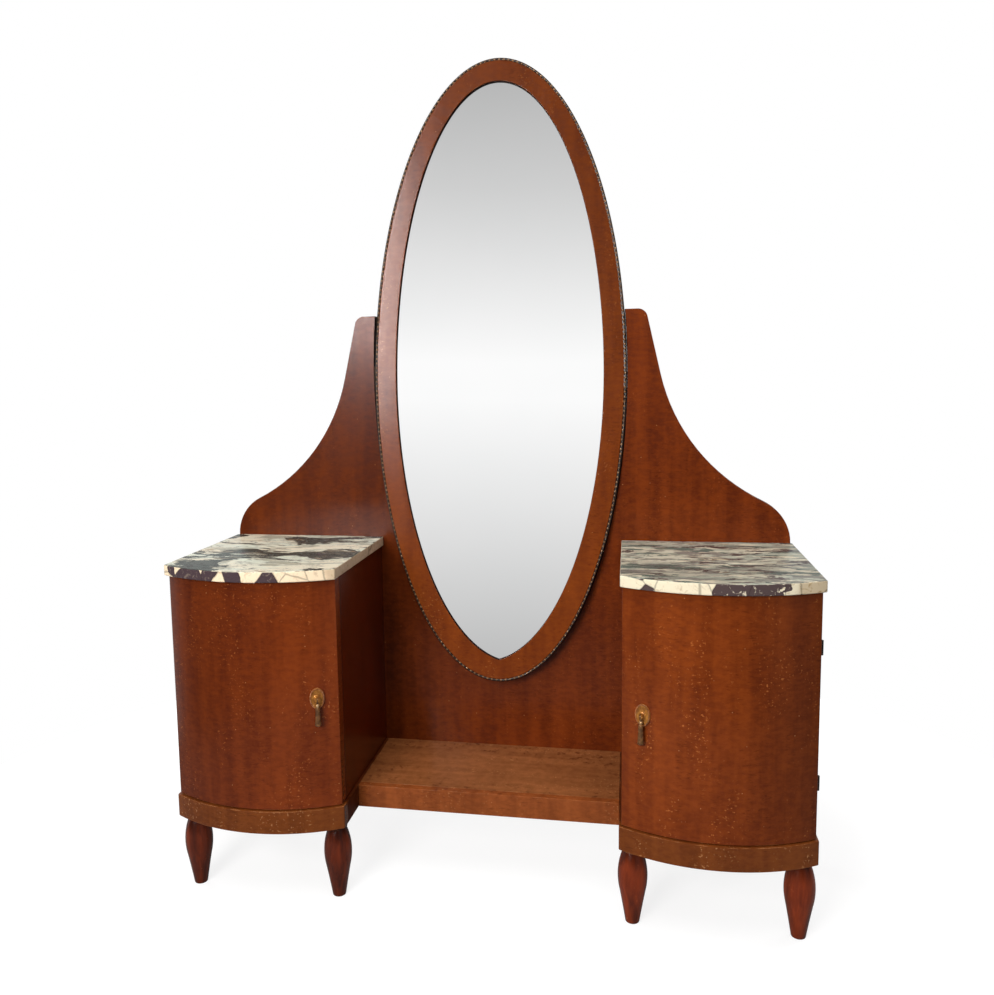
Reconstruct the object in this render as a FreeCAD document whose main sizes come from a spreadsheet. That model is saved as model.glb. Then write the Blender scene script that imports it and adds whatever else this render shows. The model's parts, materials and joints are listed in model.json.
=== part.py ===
import FreeCAD, Part
import math
import os
import Sketcher

# Dressing table: two bow-front cabinets under marble slabs, a low shelf between them, and an oval mirror
# that swings between the horns of a winged backboard. Millimetres and degrees, +Z up, front towards -Y.
# The right-hand cabinet is modelled and the left-hand one is its mirror image.

Vector = FreeCAD.Vector
X_AXIS, Y_AXIS, Z_AXIS = Vector(1, 0, 0), Vector(0, 1, 0), Vector(0, 0, 1)
document = FreeCAD.newDocument("dressing_table")

sizes = {
    # Plan of the two cabinets; panel_plane is where the backboard's front face stands behind the origin
    "panel_plane": 172, "well_width": 564, "cabinet_width": 358, "side_depth": 351, "bow_rise": 48,
    # Heights, from the floor up
    "foot_height": 163, "plinth_height": 48, "carcass_height": 475, "marble_thickness": 22,
    # Boards of a cabinet
    "side_thickness": 18, "bottom_thickness": 16, "sub_top_thickness": 14, "back_thickness": 6,
    "shelf_thickness": 14, "shelf_height": 215, "shelf_setback": 30, "shelf_play": 0.5,
    "peg_radius": 2.5, "peg_seat": 8, "peg_reach": 8, "peg_inset": 55,
    # Plinth and marble
    "plinth_proud": 5, "plinth_rail": 20, "plinth_return": 16, "block_size": 42,
    "marble_outer": 5, "marble_inner": 4, "marble_front": 12, "marble_round": 2.5,
    # Turned feet
    "foot_inset_side": 22, "foot_inset_front": 28, "foot_tip_radius": 14, "foot_tip_chamfer": 2.5,
    "foot_shoulder_radius": 25.2, "foot_shoulder_height": 66, "foot_bulge_curve": 138,
    "foot_neck_radius": 19, "foot_collar_radius": 21, "foot_collar_height": 13,
    "spigot_radius": 8, "spigot_length": 30,
    # Low shelf between the cabinets
    "well_shelf_depth": 257, "well_shelf_thickness": 18, "apron_thickness": 18,
    # Doors, their hinges and catches
    "door_thickness": 20, "door_gap": 1.5, "door_play": 2,
    "hinge_low": 100, "hinge_high": 113, "hinge_length": 28, "hinge_radius": 4, "hinge_standoff": 0.5,
    "hinge_pin_radius": 2, "hinge_leaf": 17, "leaf_thickness": 1.2, "leaf_sink": 0.15, "hinge_play": 0.3,
    "running_play": 0.05,
    "catch_drop": 60, "catch_radius": 4.5, "catch_length": 18, "ball_radius": 3, "ball_reach": 0.8,
    "strike_width": 12, "strike_height": 22, "strike_thickness": 1.5, "strike_sink": 0.1,
    # Drop pulls
    "pull_angle": 23, "pull_height": 233, "pull_half_width": 15, "pull_half_height": 21.5,
    "pull_plate": 2.4, "pull_rim_width": 3, "pull_rim_rise": 1.2,
    "pull_boss_radius": 7, "pull_boss_rise": 1.6,
    "post_radius": 4.5, "post_reach": 13.5, "post_slot": 3.5, "post_slot_depth": 7, "stud_radius": 2.5,
    "rivet_radius": 5, "rivet_height": 2.5, "rivet_sink": 1,
    "drop_pin_radius": 1.1, "drop_pin_half": 4, "drop_pin_reach": 10,
    "lug_radius": 2.9, "lug_play": 0.25, "drop_neck_radius": 1.2,
    "drop_ball_radius": 3.2, "drop_ball_low": 12, "drop_waist_radius": 2,
    "drop_shoulder_radius": 4.4, "drop_shoulder_fall": 3,
    "drop_foot_radius": 6, "drop_foot_round": 2.5, "drop_length": 55,
    # Backboard with its wings and horns
    "panel_thickness": 24, "panel_lap": 45, "panel_strip": 100, "wing_proud": 1, "wing_shoulder": 100,
    "wing_sweep": 420, "horn_slope": 77, "horn_width": 22.4, "horn_round": 22, "horn_height": 515,
    "screw_radius": 2, "screw_length": 45, "screw_head_radius": 4.5, "screw_head_height": 2.2,
    "recess_back_thickness": 4, "recess_back_lap": 22, "recess_back_drop": 33,
    # Swing mirror, measured from its pivots
    "pivot_rise": 375, "pivot_depth": 12, "mirror_tilt": 3.7, "mirror_play": 1.5,
    "sight_half_width": 237.5, "sight_half_height": 654, "sight_point": 34,
    "frame_side": 44.8, "frame_end": 45,
    "frame_thickness": 20, "frame_lip": 7, "rebate": 8,
    "glass_thickness": 5, "mirror_back_thickness": 6,
    "bead_width": 4.8, "bead_depth": 5.2, "bead_setback": 0.4,
    "bush_radius": 7, "bush_length": 20, "bush_inset": 1, "pivot_radius": 4, "pivot_grip": 18,
    "pivot_plate": 3, "pivot_plate_width": 14, "pivot_plate_height": 50,
    "clip_length": 26, "clip_width": 14, "clip_thickness": 1.5,
}
dims = document.addObject("Spreadsheet::Sheet", "Dims")
for row, (alias, size) in enumerate(sizes.items(), 1):
    dims.set(f"A{row}", alias)
    dims.set(f"B{row}", str(size))
    dims.setAlias(f"B{row}", alias)
document.recompute()

# Places worked out from the driving dimensions
wall = "Dims.panel_plane"
x_inner = "(Dims.well_width / 2)"
x_outer = "(Dims.well_width / 2 + Dims.cabinet_width)"
x_middle = "(Dims.well_width / 2 + Dims.cabinet_width / 2)"
z_plinth = "Dims.foot_height"
z_floor = "(Dims.foot_height + Dims.plinth_height)"
z_lid = "(Dims.foot_height + Dims.plinth_height + Dims.carcass_height)"
z_stone = f"({z_lid} + Dims.marble_thickness)"
front_radius = "(((Dims.cabinet_width / 2) ^ 2 + Dims.bow_rise ^ 2) / (2 * Dims.bow_rise))"
bow_centre = f"({wall} - Dims.side_depth - Dims.bow_rise + {front_radius})"
door_back_radius = f"({front_radius} - Dims.door_thickness)"
carcass_radius = f"({door_back_radius} - Dims.door_gap)"
plinth_radius = f"({front_radius} + Dims.plinth_proud)"
rail_back_radius = f"({plinth_radius} - Dims.plinth_rail)"
pivot_y = f"({wall} + Dims.pivot_depth)"
pivot_z = f"({z_stone} + Dims.pivot_rise)"
frame_half_width = "(Dims.sight_half_width + Dims.frame_side)"
frame_half_height = "(Dims.sight_half_height + Dims.frame_end)"
notch_half_width = f"({frame_half_width} + Dims.bead_width + Dims.mirror_play)"
notch_half_height = f"({frame_half_height} + Dims.bead_width + Dims.mirror_play)"
horn_flat = f"({notch_half_width} + Dims.horn_width)"
wing_reach = f"({x_outer} + Dims.wing_proud)"


def value(expression):
    return float(dims.evalExpression(expression))


def bow_y(radius, x):
    return f"({bow_centre} - sqrt(({radius}) ^ 2 - (({x}) - {x_middle}) ^ 2))"


# Building helpers

def add(kind, name, **sizes_of_piece):
    piece = document.addObject(kind, name)
    for prop, expression in sizes_of_piece.items():
        piece.setExpression(prop, expression)
    return piece


def place(piece, x="0", y="0", z="0", turn=None, axis=Z_AXIS):
    if turn is not None:
        piece.Placement = FreeCAD.Placement(Vector(), FreeCAD.Rotation(axis, value(turn)))
        piece.setExpression("Placement.Rotation.Angle", turn)
    for letter, expression in zip("xyz", (x, y, z)):
        piece.setExpression("Placement.Base." + letter, expression)
    return piece


def box(name, x, y, z):
    # Each of x, y and z is a pair of expressions: the low and the high face
    spans = [f"({high}) - ({low})" for low, high in (x, y, z)]
    block = add("Part::Box", name, Length=spans[0], Width=spans[1], Height=spans[2])
    return place(block, x[0], y[0], z[0])


def rod(name, radius, length, axis=Z_AXIS, x="0", y="0", z="0"):
    bar = add("Part::Cylinder", name, Radius=radius, Height=length)
    bar.Placement.Rotation = FreeCAD.Rotation(Z_AXIS, axis)
    return place(bar, x, y, z)


def oval(name, half_width, half_height, y_front, depth, x="0"):
    # Upright oval slab: its long axis along Z, its thickness along +Y
    edge = add("Part::Ellipse", name + "_edge", MajorRadius=half_height, MinorRadius=half_width)
    edge.Placement.Rotation = FreeCAD.Rotation(Z_AXIS, -X_AXIS, -Y_AXIS, "XYZ")
    place(edge, x, y_front)
    slab = add("Part::Extrusion", name, LengthFwd=depth)
    slab.Base = edge
    slab.DirMode = "Custom"
    slab.Dir = Y_AXIS
    slab.Solid = True
    return slab


def fuse(name, *pieces):
    joined = document.addObject("Part::MultiFuse", name)
    joined.Shapes = list(pieces)
    return joined


def common(name, *pieces):
    shared = document.addObject("Part::MultiCommon", name)
    shared.Shapes = list(pieces)
    return shared


def group(name, *pieces):
    together = document.addObject("Part::Compound", name)
    together.Links = list(pieces)
    return together


def cut(name, base, *tools):
    result = document.addObject("Part::Cut", name)
    result.Base = base
    result.Tool = tools[0] if len(tools) == 1 else fuse(name + "_tools", *tools)
    return result


def mirrored(piece, name):
    twin = document.addObject("Part::Mirroring", name)
    twin.Source = piece
    twin.Normal = X_AXIS
    return twin


def body_with_sketch(name, role):
    body = document.addObject("PartDesign::Body", name)
    sketch = body.newObject("Sketcher::SketchObject", name + "_profile")
    plane = [feature for feature in body.Origin.OriginFeatures if feature.Role == role][0]
    sketch.AttachmentSupport = (plane, [""])
    sketch.MapMode = "FlatFace"
    return body, sketch


def arc_between(start, end, radius, turn):
    # Shorter arc from start to end, anticlockwise for turn = 1 and clockwise for turn = -1
    chord = end - start
    across = Vector(-chord.y, chord.x, 0).normalize() * turn
    centre = (start + end) * 0.5 + across * math.sqrt(radius ** 2 - (chord.Length / 2) ** 2)
    first, last = (start, end) if turn > 0 else (end, start)
    angles = [math.atan2(point.y - centre.y, point.x - centre.x) for point in (first, last)]
    return Part.ArcOfCircle(Part.Circle(centre, Z_AXIS, radius), angles[0], angles[1])


def outline(sketch, corners, arcs=None):
    # Closed profile through the corners; arcs maps a segment to its radius and its direction, 1 or -1
    arcs = arcs or {}
    points = [Vector(value(x), value(y), 0) for x, y in corners]
    ends = []
    for index, start in enumerate(points):
        end = points[(index + 1) % len(points)]
        if index in arcs:
            radius, turn = arcs[index]
            sketch.addGeometry(arc_between(start, end, value(radius), turn))
            ends.append((1, 2) if turn > 0 else (2, 1))
        else:
            sketch.addGeometry(Part.LineSegment(start, end))
            ends.append((1, 2))
    for index, (head, tail) in enumerate(ends):
        following = (index + 1) % len(points)
        sketch.addConstraint(Sketcher.Constraint("Coincident", index, tail, following, ends[following][0]))
    for index, corner in enumerate(corners):
        head = ends[index][0]
        for kind, expression, size, line in (("DistanceX", corner[0], points[index].x, -2),
                                             ("DistanceY", corner[1], points[index].y, -1)):
            if expression == "0":
                sketch.addConstraint(Sketcher.Constraint("PointOnObject", index, head, line))
            else:
                number = sketch.addConstraint(Sketcher.Constraint(kind, -1, 1, index, head, size))
                sketch.setExpression(f"Constraints[{number}]", expression)
    for index, (radius, turn) in arcs.items():
        number = sketch.addConstraint(Sketcher.Constraint("Radius", index, value(radius)))
        sketch.setExpression(f"Constraints[{number}]", radius)


def pad(body, sketch, length, backwards=False):
    feature = body.newObject("PartDesign::Pad", body.Name + "_pad")
    feature.Profile = sketch
    feature.setExpression("Length", length)
    feature.Reversed = backwards
    return feature


def turned(name, corners, arcs=None):
    # Piece turned about Z from half of its profile
    body, sketch = body_with_sketch(name, "XZ_Plane")
    outline(sketch, corners, arcs)
    feature = body.newObject("PartDesign::Revolution", name + "_turning")
    feature.Profile = sketch
    feature.ReferenceAxis = (sketch, ["V_Axis"])
    feature.Angle = 360
    return body


def bowed_board(name, x, y_back, radius, z, thickness):
    # Board with a bowed front edge, flat ends and a flat back
    body, sketch = body_with_sketch(name, "XY_Plane")
    low, high = x
    corners = [(low, y_back), (low, bow_y(radius, low)), (high, bow_y(radius, high)), (high, y_back)]
    outline(sketch, corners, {1: (radius, 1)})
    pad(body, sketch, thickness)
    return place(body, z=z)


def bowed_rail(name, x, outer_radius, inner_radius, z, height):
    # Curved board that follows the bow on both faces
    body, sketch = body_with_sketch(name, "XY_Plane")
    low, high = x
    corners = [(low, bow_y(inner_radius, low)), (low, bow_y(outer_radius, low)),
               (high, bow_y(outer_radius, high)), (high, bow_y(inner_radius, high))]
    outline(sketch, corners, {1: (outer_radius, 1), 3: (inner_radius, -1)})
    pad(body, sketch, height)
    return place(body, z=z)


def on_bow(piece, radius, angle, z):
    # Set a piece made in its own frame, outside towards -Y, on the bow at an angle from the bow's middle
    x = f"{x_middle} + ({radius}) * sin({angle})"
    y = f"{bow_centre} - ({radius}) * cos({angle})"
    return place(piece, x, y, z, angle)


nodes = []


def publish(piece, label):
    piece.Label = label
    nodes.append(piece)
    return piece


def publish_pair(piece, label):
    publish(piece, "right_" + label)
    return publish(mirrored(piece, "left_" + label), "left_" + label)


def both(piece):
    return [piece, mirrored(piece, piece.Name + "_twin")]


# Pegs, catches and screws come first, because the boards are bored for them

shelf_low = f"({z_floor} + Dims.bottom_thickness + Dims.shelf_height)"
shelf_front = f"({bow_y(carcass_radius + ' - Dims.shelf_setback', x_outer)})"
pegs = []
for side, x_face in (("outer", f"{x_outer} - Dims.side_thickness - Dims.peg_reach"),
                     ("inner", f"{x_inner} + Dims.side_thickness - Dims.peg_seat")):
    for end, y_peg in (("front", f"{shelf_front} + Dims.peg_inset"), ("back", f"{wall} - Dims.peg_inset")):
        pegs.append(rod(f"peg_{side}_{end}", "Dims.peg_radius", "Dims.peg_seat + Dims.peg_reach", X_AXIS,
                        x_face, y_peg, f"{shelf_low} - Dims.peg_radius"))

catch_angle = f"(-asin((Dims.cabinet_width / 2 - Dims.side_thickness / 2) / {carcass_radius}) / 1 deg)"
catch_z = f"({z_lid} - Dims.catch_drop)"
catch = fuse("catch", rod("catch_case", "Dims.catch_radius", "Dims.catch_length", Y_AXIS),
             place(add("Part::Sphere", "catch_ball", Radius="Dims.ball_radius"),
                   y="Dims.ball_radius - Dims.ball_reach"))
on_bow(catch, carcass_radius, catch_angle, catch_z)


def screw(name, x, z):
    head = rod(name + "_head", "Dims.screw_head_radius", "Dims.screw_head_height", Y_AXIS,
               x, f"{wall} + Dims.panel_thickness", z)
    shank = rod(name + "_shank", "Dims.screw_radius", "Dims.screw_length", Y_AXIS,
                x, f"{wall} + Dims.panel_thickness - Dims.screw_length", z)
    return fuse(name, head, shank)


screw_inner = f"{x_inner} + Dims.side_thickness / 2"
screw_outer = f"{x_outer} - Dims.side_thickness / 2"
screw_top = f"{z_lid} - Dims.panel_strip / 2"
screws = [screw("screw_outer_top", screw_outer, screw_top), screw("screw_inner_top", screw_inner, screw_top),
          screw("screw_inner_middle", screw_inner, f"{z_floor} + Dims.carcass_height / 2"),
          screw("screw_inner_low", screw_inner, f"{z_floor} + Dims.panel_strip / 2")]

# Hinges: lift-off pairs whose barrels stand outside the cabinet's outer face, in line with the door's gap

gap_radius = f"({door_back_radius} - Dims.door_gap / 2)"
hinge_lean = f"(asin(Dims.cabinet_width / 2 / {gap_radius}) / 1 deg)"
hinge_out = "(Dims.hinge_standoff + Dims.hinge_radius)"
hinge_x = f"({x_outer} + {hinge_out})"
hinge_y = f"({bow_y(gap_radius, x_outer)} + {hinge_out} * tan({hinge_lean}))"
hinge_heights = {"low": f"{z_floor} + Dims.hinge_low", "high": f"{z_lid} - Dims.hinge_high"}
half_barrel = "(Dims.hinge_length / 2 - Dims.hinge_play / 2)"
leaf_seat = "(Dims.door_gap / 2 + Dims.leaf_sink)"


def fixed_hinge(name, z):
    knuckle = rod(name + "_knuckle", "Dims.hinge_radius", half_barrel, z="-Dims.hinge_length / 2")
    pin = rod(name + "_pin", "Dims.hinge_pin_radius", "Dims.hinge_length - Dims.hinge_pin_radius",
              z="-Dims.hinge_length / 2")
    leaf = box(name + "_leaf", ("-Dims.hinge_leaf", "0"), (f"{leaf_seat} - Dims.leaf_thickness", leaf_seat),
               ("-Dims.hinge_length / 2", "-Dims.hinge_play / 2"))
    return place(fuse(name, knuckle, pin, leaf), hinge_x, hinge_y, z, hinge_lean)


def door_hinge(name, z):
    knuckle = rod(name + "_knuckle", "Dims.hinge_radius", half_barrel, z="Dims.hinge_play / 2")
    leaf = box(name + "_leaf", ("-Dims.hinge_leaf", "0"),
               (f"-{leaf_seat}", f"Dims.leaf_thickness - {leaf_seat}"),
               ("Dims.hinge_play / 2", "Dims.hinge_length / 2"))
    bore = rod(name + "_bore", "Dims.hinge_pin_radius + Dims.running_play", "Dims.hinge_length")
    half = cut(name, fuse(name + "_blank", knuckle, leaf), bore)
    return place(half, hinge_x, hinge_y, z, hinge_lean)


fixed_hinges = [fixed_hinge("fixed_hinge_" + end, z) for end, z in hinge_heights.items()]
door_hinges = [door_hinge("door_hinge_" + end, z) for end, z in hinge_heights.items()]

# Cabinet boards

outer_board = bowed_board("outer_board", (f"{x_outer} - Dims.side_thickness", x_outer), wall, carcass_radius,
                          z_floor, "Dims.carcass_height")
publish_pair(cut("outer_side", outer_board, pegs[0], pegs[1], screws[0], *fixed_hinges), "outer_side")
inner_board = bowed_board("inner_board", (x_inner, f"{x_inner} + Dims.side_thickness"), wall, carcass_radius,
                          z_floor, "Dims.carcass_height")
publish_pair(cut("inner_side", inner_board, pegs[2], pegs[3], catch, *screws[1:]), "inner_side")

between_sides = (f"{x_inner} + Dims.side_thickness", f"{x_outer} - Dims.side_thickness")
publish_pair(bowed_board("bottom", between_sides, wall, carcass_radius, z_floor, "Dims.bottom_thickness"),
             "cabinet_bottom")
publish_pair(bowed_board("sub_top", between_sides, wall, carcass_radius, f"{z_lid} - Dims.sub_top_thickness",
                         "Dims.sub_top_thickness"), "sub_top")
publish_pair(box("cabinet_back", between_sides, (f"{wall} - Dims.back_thickness", wall),
                 (f"{z_floor} + Dims.bottom_thickness", f"{z_lid} - Dims.sub_top_thickness")), "cabinet_back")
shelf_span = (f"{between_sides[0]} + Dims.shelf_play", f"{between_sides[1]} - Dims.shelf_play")
publish_pair(bowed_board("inner_shelf", shelf_span, f"{wall} - Dims.back_thickness",
                         f"{carcass_radius} - Dims.shelf_setback", shelf_low, "Dims.shelf_thickness"),
             "inner_shelf")
publish(group("pegs", *[piece for peg in pegs for piece in both(peg)]), "shelf_pegs")
publish(group("catches", *both(catch)), "door_catches")
publish_pair(group("fixed_hinges", *fixed_hinges), "hinge_pins")

# Plinth: a bowed front rail with two returns and a back rail, and blocks that take the feet's spigots

plinth_low, plinth_high = f"({x_inner} - Dims.plinth_proud)", f"({x_outer} + Dims.plinth_proud)"
plinth_z = (z_plinth, z_floor)
publish_pair(bowed_rail("plinth_front", (plinth_low, plinth_high), plinth_radius, rail_back_radius, z_plinth,
                        "Dims.plinth_height"), "plinth_front")
publish_pair(bowed_board("plinth_outer", (f"{plinth_high} - Dims.plinth_return", plinth_high), wall,
                         rail_back_radius, z_plinth, "Dims.plinth_height"), "plinth_outer_return")
publish_pair(bowed_board("plinth_inner", (plinth_low, f"{plinth_low} + Dims.plinth_return"), wall,
                         rail_back_radius, z_plinth, "Dims.plinth_height"), "plinth_inner_return")
inside_plinth = (f"({plinth_low} + Dims.plinth_return)", f"({plinth_high} - Dims.plinth_return)")
publish_pair(box("plinth_back", inside_plinth, (f"{wall} - Dims.plinth_return", wall), plinth_z),
             "plinth_back_rail")


def foot(name, x, y):
    # Vase-shaped foot: a tapering shank, a bulge and a collar, with a spigot up into the corner block
    collar_z = "(Dims.foot_height - Dims.foot_collar_height)"
    spigot_z = "(Dims.foot_height + Dims.spigot_length)"
    corners = [("0", "0"), ("Dims.foot_tip_radius - Dims.foot_tip_chamfer", "0"),
               ("Dims.foot_tip_radius", "Dims.foot_tip_chamfer"),
               ("Dims.foot_shoulder_radius", "Dims.foot_shoulder_height"),
               ("Dims.foot_neck_radius", collar_z), ("Dims.foot_collar_radius", collar_z),
               ("Dims.foot_collar_radius", "Dims.foot_height"), ("Dims.spigot_radius", "Dims.foot_height"),
               ("Dims.spigot_radius", spigot_z), ("0", spigot_z)]
    return place(turned(name, corners, {3: ("Dims.foot_bulge_curve", 1)}), x, y)


foot_x = {"outer": f"({x_outer} - Dims.foot_inset_side)", "inner": f"({x_inner} + Dims.foot_inset_side)"}
foot_y = {"front": f"({wall} - Dims.side_depth + Dims.foot_inset_front)",
          "back": f"({wall} - Dims.foot_inset_front)"}
block_x = {"outer": (f"{inside_plinth[1]} - Dims.block_size", inside_plinth[1]),
           "inner": (inside_plinth[0], f"{inside_plinth[0]} + Dims.block_size")}
block_back = {"front": f"{foot_y['front']} + Dims.block_size / 2", "back": f"{wall} - Dims.plinth_return"}
blocks = []
for label, side, end in (("front_outer_foot", "outer", "front"), ("front_inner_foot", "inner", "front"),
                         ("back_foot", "outer", "back")):
    leg = foot(label, foot_x[side], foot_y[end])
    publish_pair(leg, label)
    if end == "front":
        block = bowed_board("block_" + label, block_x[side], block_back[end], rail_back_radius, z_plinth,
                            "Dims.plinth_height")
    else:
        block = box("block_" + label, block_x[side],
                    (f"{block_back[end]} - Dims.block_size", block_back[end]), plinth_z)
    blocks.append(cut("bored_" + block.Name, block, leg))
publish(group("corner_blocks", *[piece for block in blocks for piece in both(block)]), "corner_blocks")

# Marble slab with eased upper edges

slab = bowed_board("marble", (f"{x_inner} - Dims.marble_inner", f"{x_outer} + Dims.marble_outer"), wall,
                   f"{front_radius} + Dims.marble_front", z_lid, "Dims.marble_thickness")
document.recompute()
slab_pad = slab.Tip
top_z = max(vertex.Z for vertex in slab_pad.Shape.Vertexes)
back_y = max(vertex.Y for vertex in slab_pad.Shape.Vertexes)
eased = [f"Edge{number}" for number, edge in enumerate(slab_pad.Shape.Edges, 1)
         if all(abs(vertex.Z - top_z) < 0.01 for vertex in edge.Vertexes)
         and any(abs(vertex.Y - back_y) > 0.01 for vertex in edge.Vertexes)]
easing = slab.newObject("PartDesign::Fillet", "marble_easing")
easing.Base = (slab_pad, eased)
easing.setExpression("Radius", "Dims.marble_round")
publish_pair(slab, "marble_top")

# Low shelf between the cabinets, and its apron in line with the plinths

publish(box("well_shelf", (f"-{plinth_low}", plinth_low),
            (f"{wall} - Dims.well_shelf_depth + Dims.apron_thickness", wall),
            (f"{z_floor} - Dims.well_shelf_thickness", z_floor)), "well_shelf")
publish(box("well_apron", (f"-{plinth_low}", plinth_low),
            (f"{wall} - Dims.well_shelf_depth", f"{wall} - Dims.well_shelf_depth + Dims.apron_thickness"),
            plinth_z), "well_apron")

# Pulls: an oval plate, a slotted post riveted through the door, and a tapered drop on the post's pin

pull_turn = "(-Dims.pull_angle)"
pull_z = f"({z_floor} + Dims.pull_height)"
plate_face = "(-Dims.pull_plate)"
boss_face = "(-Dims.pull_plate - Dims.pull_boss_rise)"
post_rod = rod("post_rod", "Dims.post_radius", f"Dims.post_reach + {boss_face}", Y_AXIS, y="-Dims.post_reach")
post_stud = rod("post_stud", "Dims.stud_radius", "Dims.post_reach + Dims.door_thickness", Y_AXIS,
                y="-Dims.post_reach")
rivet_y = "(Dims.door_thickness - Dims.rivet_sink)"
post_rivet = rod("post_rivet", "Dims.rivet_radius", "Dims.rivet_height", Y_AXIS, y=rivet_y)
post_slot = box("post_slot", ("-Dims.post_slot / 2", "Dims.post_slot / 2"),
                ("-Dims.post_reach", "Dims.post_slot_depth - Dims.post_reach"),
                ("-2 * Dims.post_radius", "2 * Dims.post_radius"))
post_pin = rod("post_pin", "Dims.drop_pin_radius", "2 * Dims.drop_pin_half", X_AXIS, "-Dims.drop_pin_half",
               "-Dims.drop_pin_reach")
post_blank = fuse("post_blank", post_rod, post_stud, post_rivet)
post = fuse("post", cut("post_fork", post_blank, post_slot), post_pin)
on_bow(post, front_radius, pull_turn, pull_z)

rim_face = f"({plate_face} - Dims.pull_rim_rise)"
rim_outer = oval("rim_outer", "Dims.pull_half_width", "Dims.pull_half_height", rim_face, "Dims.pull_rim_rise")
rim_inner = oval("rim_inner", "Dims.pull_half_width - Dims.pull_rim_width",
                 "Dims.pull_half_height - Dims.pull_rim_width", rim_face, "Dims.pull_rim_rise")
plate_oval = oval("plate_oval", "Dims.pull_half_width", "Dims.pull_half_height", plate_face,
                  "Dims.pull_plate")
plate_boss = rod("plate_boss", "Dims.pull_boss_radius", "Dims.pull_boss_rise", Y_AXIS, y=boss_face)
plate_blank = fuse("plate_blank", cut("rim", rim_outer, rim_inner), plate_oval, plate_boss)
plate_hole = rod("plate_hole", "Dims.stud_radius", "Dims.post_reach", Y_AXIS, y="-Dims.post_reach")
plate = on_bow(cut("pull_plate", plate_blank, plate_hole), front_radius, pull_turn, pull_z)
post_seat = fuse("post_seat", rod("stud_hole", "Dims.stud_radius", "2 * Dims.door_thickness", Y_AXIS,
                                  y="-Dims.door_thickness"),
                 rod("rivet_seat", "Dims.rivet_radius", "2 * Dims.rivet_height", Y_AXIS, y=rivet_y))
on_bow(post_seat, front_radius, pull_turn, pull_z)

# The drop hangs from the middle of its pin: neck, ball, waist and a bell with a rounded foot
ball_top = "(sqrt(Dims.drop_ball_radius ^ 2 - Dims.drop_neck_radius ^ 2) - Dims.drop_ball_low)"
ball_end = "(-sqrt(Dims.drop_ball_radius ^ 2 - Dims.drop_waist_radius ^ 2) - Dims.drop_ball_low)"
drop_turning = turned("drop_turning", [
    ("0", "0"), ("Dims.drop_neck_radius", "0"), ("Dims.drop_neck_radius", ball_top),
    ("Dims.drop_waist_radius", ball_end),
    ("Dims.drop_shoulder_radius", f"{ball_end} - Dims.drop_shoulder_fall"),
    ("Dims.drop_foot_radius", "Dims.drop_foot_round - Dims.drop_length"),
    ("Dims.drop_foot_radius - Dims.drop_foot_round", "-Dims.drop_length"), ("0", "-Dims.drop_length")],
    {2: ("Dims.drop_ball_radius", -1), 5: ("Dims.drop_foot_round", -1)})
lug = rod("lug", "Dims.lug_radius", "Dims.post_slot - 2 * Dims.lug_play", X_AXIS,
          "Dims.lug_play - Dims.post_slot / 2")
lug_bore = rod("lug_bore", "Dims.drop_pin_radius + Dims.running_play", "2 * Dims.post_slot", X_AXIS,
               "-Dims.post_slot")
drop = cut("drop", fuse("drop_blank", drop_turning, lug), lug_bore)
pin_radius = f"({front_radius} + Dims.drop_pin_reach)"
on_bow(drop, pin_radius, pull_turn, pull_z)

# Doors

strike_blank = box("strike_blank", ("-Dims.strike_width / 2", "Dims.strike_width / 2"),
                   ("-Dims.strike_thickness - Dims.strike_sink", "-Dims.strike_sink"),
                   ("-Dims.strike_height / 2", "Dims.strike_height / 2"))
strike_hole = rod("strike_hole", "Dims.ball_radius", "2 * Dims.strike_thickness + Dims.strike_sink", Y_AXIS,
                  y="-2 * Dims.strike_thickness - Dims.strike_sink")
strike = cut("strike", strike_blank, strike_hole)
on_bow(strike, door_back_radius, catch_angle, catch_z)
strike_seat = group("strike_seat", box("strike_room", ("-Dims.strike_width / 2", "Dims.strike_width / 2"),
                                       ("-Dims.strike_thickness - Dims.strike_sink", "Dims.strike_thickness"),
                                       ("-Dims.strike_height / 2", "Dims.strike_height / 2")))
on_bow(strike_seat, door_back_radius, catch_angle, catch_z)
door_board = bowed_rail("door_board", (x_inner, x_outer), front_radius, door_back_radius,
                        f"{z_floor} + Dims.door_play", "Dims.carcass_height - 2 * Dims.door_play")
publish_pair(cut("door", door_board, post_seat, strike_seat, *door_hinges), "door")
publish_pair(group("door_hinges", *door_hinges), "door_hinges")
publish_pair(plate, "pull_plate")
publish_pair(post, "pull_post")
publish_pair(strike, "strike_plate")
publish_pair(drop, "pull_drop")

# Swing mirror, made upright about its pivots and then tilted

frame_front = "(-Dims.frame_thickness / 2)"
bead_front = f"({frame_front} + Dims.bead_setback)"
bead_outer = oval("bead_outer", f"{frame_half_width} + Dims.bead_width",
                  f"{frame_half_height} + Dims.bead_width", bead_front, "Dims.bead_depth")
bead_inner = oval("bead_inner", frame_half_width, frame_half_height, bead_front, "Dims.bead_depth")
bead = cut("bead", bead_outer, bead_inner)

bushes = []
bush_seats = []
bush_end = f"({frame_half_width} - Dims.bush_inset)"
for side, axis, start in (("right", X_AXIS, f"{bush_end} - Dims.bush_length"),
                          ("left", -X_AXIS, f"Dims.bush_length - {bush_end}")):
    case = rod(f"bush_case_{side}", "Dims.bush_radius", "Dims.bush_length", axis, start)
    bore = rod(f"bush_bore_{side}", "Dims.pivot_radius + Dims.running_play", "Dims.bush_length", axis, start)
    bushes.append(cut(f"bush_{side}", case, bore))
    bush_seats.append(rod(f"bush_seat_{side}", "Dims.bush_radius", "2 * Dims.bush_length", axis, start))

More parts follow.
